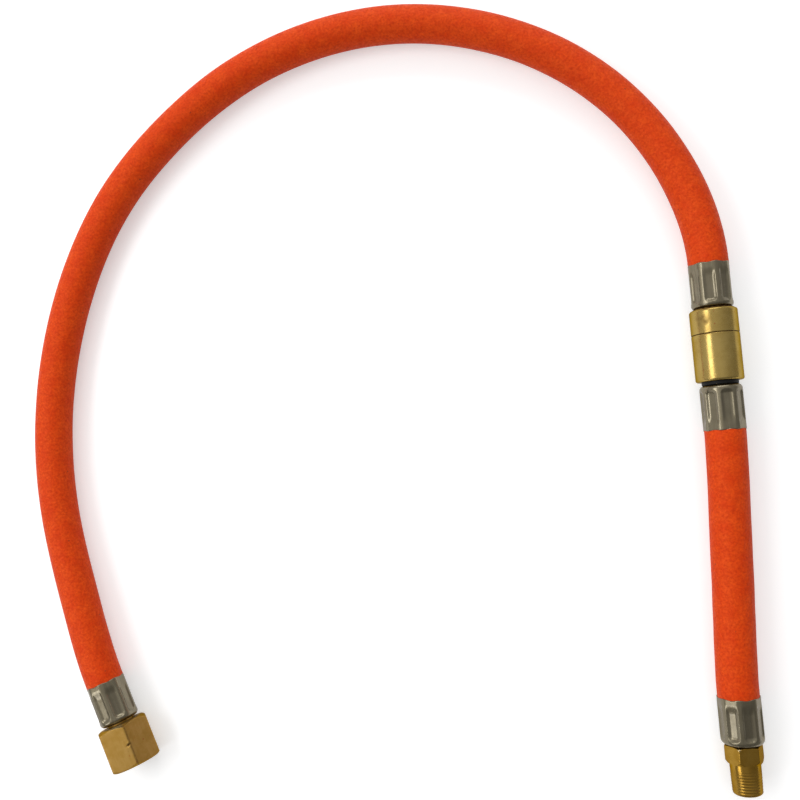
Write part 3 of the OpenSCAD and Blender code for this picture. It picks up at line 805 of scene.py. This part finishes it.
def pressed_radius(base, phi, z):
    """A flat along the whole jaw, and a pocket in it that starts a little way from the mouth."""
    depth = FLAT_DEPTH * smooth((FERRULE_LENGTH - FLAT_END - z) / FLAT_END)
    flat = (FERRULE_OUTER - depth) / np.cos(phi)
    body = soft_min(np.full(phi.shape, FERRULE_OUTER), flat, FLUTE_EDGE) - (FERRULE_OUTER - base)
    return body - POCKET_DEPTH * pocket(FERRULE_OUTER * phi, z)


def ferrule_sector():
    half = math.pi / FLUTES
    phi = half * np.sin(np.linspace(-math.pi / 2, math.pi / 2, SECTOR_COLUMNS))
    rows, masks = [], []

    def row(z, radius, mask=None):
        radius = np.broadcast_to(radius, phi.shape)
        wavy = z + SCALLOP * (0.5 + 0.5 * np.cos(FLUTES * phi)) * smooth(1 - z / SCALLOP_FADE)
        rows.append(np.stack([radius * np.sin(phi), radius * np.cos(phi), wavy], 1))
        masks.append(np.zeros(phi.shape) if mask is None else mask)

    def pressed_row(z, base):
        row(z, pressed_radius(base, phi, z), pocket(FERRULE_OUTER * phi, z))

    for z, inset in LIP_ROUND:
        pressed_row(z, FERRULE_OUTER - inset)
    for z in steps(0.3, FERRULE_LENGTH - SHOULDER, 0.17):
        pressed_row(z, FERRULE_OUTER)
    for a in np.radians(np.linspace(8, 90, 10)):
        z = FERRULE_LENGTH - SHOULDER + SHOULDER * math.sin(a)
        pressed_row(z, FERRULE_OUTER - SHOULDER + SHOULDER * math.cos(a))
    row(FERRULE_LENGTH, FERRULE_HOLE + HOLE_EDGE)
    row(FERRULE_LENGTH - HOLE_EDGE, FERRULE_HOLE)
    row(FERRULE_LENGTH - FLANGE, FERRULE_HOLE)
    row(FERRULE_LENGTH - FLANGE, FERRULE_INNER)
    row(1.5, FERRULE_INNER)
    row(0.75, (FERRULE_INNER + HOSE_RADIUS) / 2)
    row(0.0, HOSE_RADIUS + SEAT)
    count, columns = len(rows), len(phi)
    faces = []
    for i in range(count):
        for k in range(columns - 1):
            j = (i + 1) % count
            faces.append((i * columns + k, j * columns + k, j * columns + k + 1, i * columns + k + 1))
    mesh = bpy.data.meshes.new("ferrule_sector")
    mesh.from_pydata((np.concatenate(rows) * MM).tolist(), [], faces)
    mark(mesh, "pressed", masks)
    return put_in_scene("ferrule_sector", mesh)


sector = ferrule_sector()
print("points in one eighth:", len(sector.data.vertices))

# %% [markdown]
# ## Eight of them make a ferrule
# A node tree puts eight copies round the axis, makes them real and welds their edges. Each ferrule was
# pressed at its own angle, so the turn is one of the tree's inputs, and a loop runs it four times.

# %% Four ferrules
FLUTE_TURNS = {"inlet": -10, "upper": -12, "lower": -4.5, "outlet": 12}


def make_ferrule_tree():
    tree, given, result = geometry_tree("pressed ferrule", {
        "Flutes": "Int", "Turn": "Float", "Finish": "Material"})
    spots = add_step(tree, "GeometryNodeMeshLine", {"Count": given["Flutes"], "Offset": (0, 0, 0)})
    index = tree.nodes.new("GeometryNodeInputIndex").outputs[0]
    pitch = reckon(tree, "DIVIDE", 2 * math.pi, given["Flutes"])
    angle = reckon(tree, "MULTIPLY_ADD", index, pitch, given["Turn"])
    rotation = add_step(tree, "ShaderNodeCombineXYZ", {"Z": angle})
    copies = add_step(tree, "GeometryNodeInstanceOnPoints", {
        "Points": spots, "Instance": given["Geometry"], "Rotation": rotation})
    real = add_step(tree, "GeometryNodeRealizeInstances", {0: copies})
    welded = add_step(tree, "GeometryNodeMergeByDistance", {"Geometry": real, "Distance": WELD})
    finish_tree(tree, welded, given["Finish"], result)
    return tree


ferrule_tree = make_ferrule_tree()
ferrules = {}
for end, matrix in FITTINGS.items():
    piece = plain_mesh(f"{end}_ferrule_pressed", sector, ferrule_tree, {
        "Flutes": FLUTES, "Turn": -math.radians(FLUTE_TURNS[end]), "Finish": steels[end]})
    piece.data.transform(matrix)
    face_outwards(piece.data)
    ferrules[end] = piece
    report(piece)
bpy.data.objects.remove(sector)

# %% [markdown]
# ## The union nut
# The nut is cut from a drawn hexagon bar. Its six corners are a little rounded, a cone turns them off
# at each end, and inside runs a left-hand thread behind which the shoulder holds the tail. A thread is
# a radius that rises and falls once in every pitch as the place moves along or round, so its rings
# carry an array of radii. One corner has a ding from a slipped spanner, as used nuts do. The dent, a
# line along that corner and the facet beside it are darkened with painted shade, and the rear chamfer
# beside the corner carries a painted highlight.

# %% Nut
NUT_START = 15.8
NUT_LENGTH = 15.4
NUT_FLATS = 17.0
NUT_CORNER_ROUND = 0.30
NUT_TURN = 30
NUT_BACK_FACE = 15.4
NUT_FRONT_FACE = 16.1
NUT_SHOULDER = 3.0
NUT_BORE = 9.1
THREAD_MAJOR = 13.157
THREAD_MINOR = 11.445
THREAD_PITCH = 1.337
THREAD_START = 23.35
THREAD_FLANK = 1.15
RELIEF = 0.15
CHAMFER_SLOPE = math.radians(30)
CHAMFER_EDGE = 0.14
CORNER_ARC = 9.6
DENT_PLACE = 7.3
DENT_SLANT = 0.35
DENT_DEPTH = 0.42
DENT_LIP = 0.08
# A painted highlight on the nut's rear chamfer:
HIGHLIGHT_PLACE = -2.6
HIGHLIGHT_WIDTH = 2.0
HIGHLIGHT_STRENGTH = 0.9
FINE_ROW = 0.06
DENT_ROW = 0.12
COARSE_ROW = 0.6
NUT_COLUMNS = 360


def hexagon(angles, flats, corner_round, turn):
    """The radius of a hexagon with rounded corners at each angle, a corner at the turn."""
    half = flats / 2
    from_corner = (angles - math.radians(turn) + math.pi / 6) % (math.pi / 3) - math.pi / 6
    flat = half / np.cos(math.pi / 6 - np.abs(from_corner))
    centre = (half - corner_round) / math.cos(math.pi / 6)
    offset = centre * np.sin(np.abs(from_corner))
    curve = centre * np.cos(from_corner) + np.sqrt(np.maximum(corner_round ** 2 - offset ** 2, 0))
    return np.where(offset < corner_round / 2, np.minimum(curve, flat), flat)


def thread_wave(angles, along, pitch, sense):
    """From 0 at the root to 1 at the crest of a rounded 55-degree thread."""
    phase = (along / pitch - sense * angles / (2 * math.pi)) % 1
    return smooth(0.5 - THREAD_FLANK * (np.abs(2 * phase - 1) - 0.5))


def ding(angles, along):
    """The dent that a slipped spanner left on one corner, as (change of radius, painted shade in and around
    it).
    """
    across = CORNER_ARC * angle_from(angles, NUT_TURN)
    centre = NUT_START + DENT_PLACE - DENT_SLANT * across
    hollow = np.exp(-((across + 0.30) / 0.60) ** 2 - ((along - centre) / 0.28) ** 2)
    lip = np.exp(-((across - 0.4) / 0.6) ** 2 - ((along - centre + 0.75) / 0.4) ** 2)
    # Painted shade: the dent, a line along the corner and the facet beside it are darkened.
    beside = 0.45 * np.exp(-((across - 0.30) / 0.22) ** 2)
    shaded_facet = 0.05 * smooth((across - 0.2) / 0.4) * smooth((9.4 - across) / 0.4)
    return DENT_LIP * lip - DENT_DEPTH * hollow, np.clip(hollow + beside + shaded_facet, 0, 0.8)


def chamfer_highlight(angles, cut):
    """A painted highlight on the rear chamfer, beside the dented corner, where the cone has cut the bar."""
    across = CORNER_ARC * angle_from(angles, NUT_TURN)
    return HIGHLIGHT_STRENGTH * np.exp(-((across - HIGHLIGHT_PLACE) / HIGHLIGHT_WIDTH) ** 2) * smooth(cut / 0.25)


def make_nut():
    angles = turns(NUT_COLUMNS)
    bar = hexagon(angles, NUT_FLATS, NUT_CORNER_ROUND, NUT_TURN)
    end = NUT_START + NUT_LENGTH
    rings = []
    places = np.concatenate([
        steps(0, 1.7, FINE_ROW), steps(1.9, 5.6, COARSE_ROW), steps(5.8, 8.8, DENT_ROW),
        steps(9.2, NUT_LENGTH - 1.7, COARSE_ROW), steps(NUT_LENGTH - 1.5, NUT_LENGTH, FINE_ROW)])
    for d in places:
        back_cone = NUT_BACK_FACE / 2 + d / math.tan(CHAMFER_SLOPE)
        front_cone = NUT_FRONT_FACE / 2 + (NUT_LENGTH - d) / math.tan(CHAMFER_SLOPE)
        radius = soft_min(soft_min(bar, back_cone, CHAMFER_EDGE), front_cone, CHAMFER_EDGE)
        dent, dirt_and_light_marks = ding(angles, NUT_START + d)
        # The ring carries the ding's painted shade, less the chamfer's painted highlight.
        rings.append((NUT_START + d, radius + dent, dirt_and_light_marks - chamfer_highlight(angles, bar - back_cone)))
    chamfer = (THREAD_MAJOR - THREAD_MINOR) / 2
    rings += [(end, THREAD_MAJOR / 2 + 0.1), (end - 0.05, THREAD_MAJOR / 2)]
    for z in steps(end - chamfer * 0.5, THREAD_START, THREAD_PITCH / 9):
        crest = THREAD_MAJOR / 2 - chamfer * thread_wave(angles, z, THREAD_PITCH, -1)
        opened = THREAD_MINOR / 2 + max(0.0, z - (end - chamfer)) * 1.6
        rings.append((z, np.minimum(THREAD_MAJOR / 2, np.maximum(crest, opened))))
    shoulder = NUT_START + NUT_SHOULDER
    rings += [(THREAD_START, THREAD_MAJOR / 2 + RELIEF), (shoulder, THREAD_MAJOR / 2 + RELIEF)]
    rings += [(shoulder, NUT_BORE / 2 + 0.1), (shoulder - 0.1, NUT_BORE / 2)]
    rings += [(NUT_START + 0.25, NUT_BORE / 2), (NUT_START, NUT_BORE / 2 + 0.25)]
    return skin("union_nut_turned", rings, inlet, NUT_COLUMNS, nut_brass)


union_nut = make_nut()
report(union_nut)

# %% [markdown]
# ## The outlet nipple
# The nipple is one brass turning. Its barbed tail sits in the hose, then come a small hexagon and a
# tapered pipe thread, thinner by a sixteenth of its length towards the tip. The thread runs out into
# plain metal before the hexagon, because the die can't cut up to the shoulder.

# %% Nipple
GAS_BORE = 3.5
COLLAR = 8.8
GROOVE = 7.4
TAIL_SETBACK = 2.0
BARB_ROOT = 2.9
BARB_TIP = 3.45
BARBS = 4
STOP_START = 13.07
FLANGE_START = FERRULE_LENGTH - FLANGE
HEX_START = 15.5
HEX_END = 21.1
HEX_FLATS = 11.0
HEX_CORNERS = 12.5
HEX_FACE = 11.3
HEX_TURN = -24
HEX_CORNER_ROUND = 0.2
HEX_ROW = 0.07
FRONT_SLOPE = math.radians(57)
FRONT_EDGE = 0.10
PIPE_END = 31.3
PIPE_GAUGE = 9.728
GAUGE_PLACE = 4.0
PIPE_PITCH = 0.907
PIPE_DEPTH = 0.075
PIPE_TAPER = 1 / 16
RUN_OUT = 2.3
PLAIN_LENGTH = 0.9
TIP_ROUND = 1.2
TIP_INSET = 1.15
NIPPLE_COLUMNS = 288


def tail_rings():
    """The barbed tail from the tip of its bore to the end of the ferrule's groove."""
    pitch = (STOP_START - TAIL_SETBACK) / (BARBS + 0.5)
    rings = [(TAIL_SETBACK, GAS_BORE / 2 + 0.1), (TAIL_SETBACK, BARB_ROOT - 0.1)]
    rings.append((TAIL_SETBACK + 0.1, BARB_ROOT))
    for i in range(BARBS):
        start = TAIL_SETBACK + i * pitch
        rings += [(start + 0.85 * pitch, BARB_TIP), (start + 0.95 * pitch, BARB_ROOT)]
    rings += [(STOP_START, BARB_ROOT), (STOP_START, COLLAR / 2), (FLANGE_START - SEAT, COLLAR / 2)]
    # The groove by the ferrule's closed end is darkened with painted shade.
    rings += [(FLANGE_START - SEAT, GROOVE / 2, 1.0), (FERRULE_LENGTH + SEAT, GROOVE / 2, 1.0)]
    return rings


def past_run_out(z):
    """From 0 in the plain metal by the hexagon to 1 where the thread is cut in full."""
    return smooth((z - HEX_END - PLAIN_LENGTH) / RUN_OUT)


def pipe_radius(angles, z):
    """The tapered thread's radius, smooth where the die ran out and rounded at the tip."""
    crest = PIPE_GAUGE / 2 + (PIPE_END - GAUGE_PLACE - z) * PIPE_TAPER / 2
    groove = PIPE_DEPTH * (1 - thread_wave(angles, z, PIPE_PITCH, 1)) * past_run_out(z)
    drop = max(0.0, TIP_ROUND - PIPE_END + z)
    tip = PIPE_GAUGE / 2 - TIP_INSET + np.sqrt(max(0.0, TIP_ROUND ** 2 - drop ** 2))
    return soft_min(crest - groove, np.full(angles.shape, tip), 0.1)


def make_nipple():
    angles = turns(NIPPLE_COLUMNS)
    rings = tail_rings()
    bar = hexagon(angles, HEX_FLATS, HEX_CORNER_ROUND, HEX_TURN)
    bar = soft_min(bar, np.full(angles.shape, HEX_CORNERS / 2), 0.04)
    # Painted shade in the groove by the hexagon.
    rings.append((HEX_START, GROOVE / 2, 1.0))
    corner = angle_from(angles, HEX_TURN)
    for d in steps(0, HEX_END - HEX_START, HEX_ROW):
        back_cone = HEX_FACE / 2 + d / math.tan(CHAMFER_SLOPE)
        front_cone = HEX_FACE / 2 + (HEX_END - HEX_START - d) / math.tan(FRONT_SLOPE)
        # The brass is paler at one corner of the back chamfer.
        pale_corner = 0.9 * np.exp(-(HEX_CORNERS / 2 * corner / 0.45) ** 2 - (d / 0.5) ** 2)
        radius = soft_min(soft_min(bar, back_cone, CHAMFER_EDGE), front_cone, FRONT_EDGE)
        rings.append((HEX_START + d, radius, -pale_corner))
    for z in steps(HEX_END + 0.02, PIPE_END, PIPE_PITCH / 9):
        rings.append((z, pipe_radius(angles, z), 0.12 * past_run_out(z)))
    rings += [(PIPE_END, GAS_BORE / 2 + 0.15), (PIPE_END - 0.15, GAS_BORE / 2)]
    rings.append((TAIL_SETBACK + 0.1, GAS_BORE / 2))
    return skin("outlet_nipple_turned", rings, outlet, NIPPLE_COLUMNS, nipple_brass)


outlet_nipple = make_nipple()
report(outlet_nipple)

# %% [markdown]
# ## The swivel
# The ring of the body and the sleeve that is screwed on it show, and between the sleeve and the lower
# ferrule the dust seal shows as a black line. Body and sleeve are smooth turnings with rounded ends
# and a small groove between them, darkened with painted shade, and the ring has a brown patch where a
# wrench has held it. Between the ring and the upper ferrule, the neck and a low boss on the ring's back
# face are dark with painted shade. The seal gets a lip that wipes the stem. The outlines are closed
# paths of rings, with quarter rounds at the edges. The stem, the washers and the O-rings inside stay
# as they are in the model.

# %% Swivel
SWIVEL_OUTER = (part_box("swivel_sleeve")[1].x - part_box("swivel_sleeve")[0].x) / 2 / MM
LIP_END = 40.86
RING_START = 15.55
RING_END = 23.9
SLEEVE_END = 39.7
SCREW_END = 28.9
SCREW_RADIUS = 6.2
SWIVEL_ROUND = 0.8
PARTING = 0.17
# A low boss on the ring's back face, dark with painted shade, stands in the gap by the ferrule.
BOSS_START = 15.32
BOSS_RADIUS = 6.9
SPIGOT_BORE = 3.9
SPIGOT_FLOOR = 19.68
LAND_START = 33.46
LAND_END = 38.37
SEAL_BORE = 4.8
SWIVEL_COLUMNS = 192
PATCHES = [
    (-5.6, 19.0, 1.3, 0.40), (-4.2, 20.2, 0.8, 0.50), (-6.4, 20.8, 0.9, 0.30), (-4.9, 18.2, 0.6, 0.30),
    (-3.0, 19.2, 0.7, 0.20), (-7.2, 18.6, 1.0, 0.25),
]


def handled(z):
    """The brown patch on the ring where a wrench has held it, on its upper left."""
    across = SWIVEL_OUTER * angle_from(turns(SWIVEL_COLUMNS), 0)
    dirt_and_light_marks = np.zeros(SWIVEL_COLUMNS)
    for centre, place, size, amount in PATCHES:
        dirt_and_light_marks += amount * np.exp(-((across - centre) / size) ** 2 - ((z - place) / size) ** 2)
    return np.clip(dirt_and_light_marks, 0, 0.6)


def make_swivel_body():
    rings = tail_rings()
    # The neck and the boss are darkened with painted shade.
    rings += [(FERRULE_LENGTH + SEAT, COLLAR / 2, 1.0), (BOSS_START, COLLAR / 2, 1.0)]
    rings += [(BOSS_START, BOSS_RADIUS - 0.1, 1.0), (BOSS_START + 0.1, BOSS_RADIUS, 1.0)]
    rings += [(RING_START, BOSS_RADIUS, 1.0), (RING_START, BOSS_RADIUS + 0.05)]
    rings += rounded_edge(SWIVEL_ROUND, -90, 0, SWIVEL_OUTER - SWIVEL_ROUND, RING_START + SWIVEL_ROUND)
    rings += [(z, SWIVEL_OUTER, handled(z)) for z in steps(RING_START + 0.9, RING_END - PARTING - 0.15, 0.3)]
    # The parting groove is darkened with painted shade.
    rings.append((RING_END - PARTING - 0.05, SWIVEL_OUTER - 0.02))
    rings.append((RING_END - PARTING, SWIVEL_OUTER - 0.06, 0.9))
    rings.append((RING_END, SWIVEL_OUTER - 1.5 * PARTING, 1.0))
    rings += [(RING_END, SCREW_RADIUS), (SCREW_END, SCREW_RADIUS), (SCREW_END, SPIGOT_BORE)]
    rings += [(SPIGOT_FLOOR, SPIGOT_BORE), (SPIGOT_FLOOR, GAS_BORE / 2), (TAIL_SETBACK + 0.1, GAS_BORE / 2)]
    return skin("swivel_body_turned", rings, upper, SWIVEL_COLUMNS, swivel_brass)


def make_swivel_sleeve():
    # The sleeve's side of the parting groove is darkened with painted shade.
    rings = [(RING_END, SWIVEL_OUTER - 1.5 * PARTING, 1.0), (RING_END + 0.15, SWIVEL_OUTER - 0.06, 0.5),
             (RING_END + 0.2, SWIVEL_OUTER - 0.02)]
    rings += [(z, SWIVEL_OUTER) for z in steps(RING_END + 0.45, SLEEVE_END - SWIVEL_ROUND - 0.4, 1.5)]
    rings += rounded_edge(SWIVEL_ROUND, 0, 90, SWIVEL_OUTER - SWIVEL_ROUND, SLEEVE_END - SWIVEL_ROUND)
    rings += [(SLEEVE_END, SCREW_RADIUS + SEAT), (LAND_END, SCREW_RADIUS + SEAT), (LAND_END, SEAL_BORE)]
    rings += [(LAND_START, SEAL_BORE), (LAND_START, SCREW_RADIUS + SEAT), (RING_END, SCREW_RADIUS + SEAT)]
    return skin("swivel_sleeve_turned", rings, upper, SWIVEL_COLUMNS, swivel_brass)


def make_dust_seal():
    """The seal in the end of the sleeve, with a lip that stands out and wipes the stem."""
    low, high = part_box("dust_seal")
    outer = (high.x - low.x) / 2 / MM
    start = LAND_END + SEAT
    lip = outer - 0.25
    rings = [(start, SEAL_BORE), (start, outer), (SLEEVE_END - 0.05, outer), (SLEEVE_END + 0.02, lip)]
    rings += rounded_edge(0.25, 0, 90, lip - 0.25, LIP_END - 0.25)
    rings += rounded_edge(0.3, 90, 180, SEAL_BORE + 0.3, LIP_END - 0.3)
    return skin("dust_seal_lipped", rings, upper, SWIVEL_COLUMNS, seal_rubber)


def crisp(obj, degrees):
    """Keeps real corners sharp on a turned piece and leaves its rounds smooth."""
    obj.data.set_sharp_from_angle(angle=math.radians(degrees))


TURNED_CREASE = 40
HEXAGON_CREASE = 65
swivel_body = make_swivel_body()
swivel_sleeve = make_swivel_sleeve()
dust_seal = make_dust_seal()
for piece in (swivel_body, swivel_sleeve, dust_seal, *ferrules.values()):
    crisp(piece, TURNED_CREASE)
for piece in (union_nut, outlet_nipple):
    crisp(piece, HEXAGON_CREASE)
for piece in (swivel_body, swivel_sleeve, dust_seal):
    report(piece)

# %% [markdown]
# ## Pieces that stay as modelled
# Inlet tail, stem, washers and O-rings are exact already. They only get their finishes, by filling
# their own material slots.

# %% Finishes for the model's own pieces
KEPT = {
    "inlet_tail": nut_brass, "swivel_stem": swivel_brass,
    "upper_thrust_washer": washer_plastic, "lower_thrust_washer": washer_plastic,
    "upper_o_ring": seal_rubber, "lower_o_ring": seal_rubber,
}
for node, finish in KEPT.items():
    slots = frame["nodes"][node].data.materials
    slots.clear()
    slots.append(finish)
print("kept pieces:", len(KEPT))

# %% [markdown]
# ## Who rides on what
# Everything up to the sleeve belongs to the long hose, the nut turns by itself, and the stem with all
# after it turns with the short hose. Each new piece names the model's piece that it stands for.

# %% Rides
REPLACED = [
    (union_nut, "nut", "union_nut", "brass"),
    (ferrules["inlet"], "long_hose", "inlet_ferrule", "ferrule_steel"),
    (ferrules["upper"], "long_hose", "upper_ferrule", "ferrule_steel"),
    (ferrules["lower"], "short_hose", "lower_ferrule", "ferrule_steel"),
    (ferrules["outlet"], "short_hose", "outlet_ferrule", "ferrule_steel"),
    (swivel_body, "long_hose", "swivel_body", "swivel_brass"),
    (swivel_sleeve, "long_hose", "swivel_sleeve", "swivel_brass"),
    (dust_seal, "long_hose", "dust_seal", "seal_rubber"),
    (outlet_nipple, "short_hose", "outlet_nipple", "brass"),
]
LAYER_SLOTS = {"cover": "orange_rubber", "braid": "textile_braid", "liner": "liner_rubber"}
for body, layers in (("long_hose", long_hose), ("short_hose", short_hose)):
    for layer, piece in layers.items():
        REPLACED.append((piece, body, f"{body}_{layer}", LAYER_SLOTS[layer]))
for piece, body, node, slot in REPLACED:
    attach(piece, body)
    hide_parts(node)
print("pieces placed:", len(REPLACED))

# %% [markdown]
# ## Floor and light
# The floor is plain and pale, and keeps the soft shadow of the hose. The sky is a soft dome with one
# level at the left and behind. It gets darker to the right and to the front, down to a least level, so
# that the metal has something to reflect and doesn't turn flat. Only the camera sees it as white.
# Three soft lamps add to it: the key lamp at the left gives the bright band on the brass and the
# brighter flank of the hose, a far one stands behind, and a small near one at the left front.

# %% Floor
FLOOR_LIFT = 0.43
FLOOR_HALF = 4.0
FLOOR_DROP = 0.0002
FLOOR_SHADE = (0.79, 0.79, 0.79)
FLOOR_PALE = (0.81, 0.81, 0.81)


def make_floor():
    mesh = bpy.data.meshes.new("floor")
    corners = [(FLOOR_HALF * x, FLOOR_HALF * y, 0) for x, y in ((-1, -1), (1, -1), (1, 1), (-1, 1))]
    mesh.from_pydata(corners, [], [(0, 1, 2, 3)])
    obj = put_in_scene("floor", mesh)
    material, tree, shader = new_material("pale_floor")
    clouds = noise(tree, object_coords(tree), 0.004, 2.0)
    colour = mix_colours(tree, spread(tree, clouds, 0, 1), FLOOR_SHADE, FLOOR_PALE)
    wire(tree, shader, base_color=colour, roughness=0.9, specular_ior_level=0.0)
    rays = tree.nodes.new("ShaderNodeLightPath").outputs
    seen = rays["Is Camera Ray"]
    for kind in ("Is Glossy Ray", "Is Transmission Ray"):
        seen = reckon(tree, "MAXIMUM", seen, rays[kind])
    glow = add_node(tree, "ShaderNodeEmission", {"Strength": reckon(tree, "MULTIPLY", seen, FLOOR_LIFT)})
    both = add_node(tree, "ShaderNodeAddShader", {0: shader.outputs[0], 1: glow.outputs[0]})
    tree.links.new(both.outputs[0], tree.nodes["Material Output"].inputs["Surface"])
    mesh.materials.append(material)
    obj.location = (0, 0, -FLOOR_DROP)
    print("floor", 2 * FLOOR_HALF, "m wide")


make_floor()

# %% World and lamps
ROOM_LEVEL = 0.80
DARKER_RIGHT = -0.40
DARKER_FRONT = -1.08
LEAST_LEVEL = 0.30


def make_world():
    world = bpy.data.worlds.new("studio")
    world.use_nodes = True
    tree = world.node_tree
    background = tree.nodes["Background"]
    way = tree.nodes.new("ShaderNodeTexCoord").outputs["Generated"]
    x, y, _ = add_node(tree, "ShaderNodeSeparateXYZ", {0: way}).outputs
    right = reckon(tree, "MAXIMUM", x, 0.0)
    front = reckon(tree, "MAXIMUM", reckon(tree, "MULTIPLY", y, -1.0), 0.0)
    level = reckon(tree, "MULTIPLY_ADD", right, DARKER_RIGHT, ROOM_LEVEL)
    level = reckon(tree, "MULTIPLY_ADD", front, DARKER_FRONT, level)
    level = reckon(tree, "MAXIMUM", level, LEAST_LEVEL)
    seen = tree.nodes.new("ShaderNodeLightPath").outputs["Is Camera Ray"]
    level = add_step(tree, "ShaderNodeMapRange", {"Value": seen, "To Min": level, "To Max": 1.0})
    tree.links.new(level, background.inputs["Strength"])
    background.inputs["Color"].default_value = (1, 1, 1, 1)
    scene.world = world


def soft_lamp(name, place, target, size, power):
    data = bpy.data.lights.new(name, "AREA")
    data.shape = "RECTANGLE"
    data.size, data.size_y = size
    data.energy = power
    lamp = put_in_scene(name, data)
    lamp.location = place
    way = Vector(target) - Vector(place)
    lamp.rotation_euler = way.to_track_quat("-Z", "Y").to_euler()


make_world()
soft_lamp("key", (-0.53, 0.12, 0.675), (0.11, 0.05, 0), (0.52, 0.30), 1.9)
soft_lamp("far", (0.05, 1.00, 0.62), (0, 0.05, 0), (0.90, 0.40), 3.6)
soft_lamp("near", (-0.55, -0.37, 0.45), (0.11, -0.085, 0), (0.18, 0.26), 0.62)
scene.view_settings.view_transform = "Standard"
print("lights set")
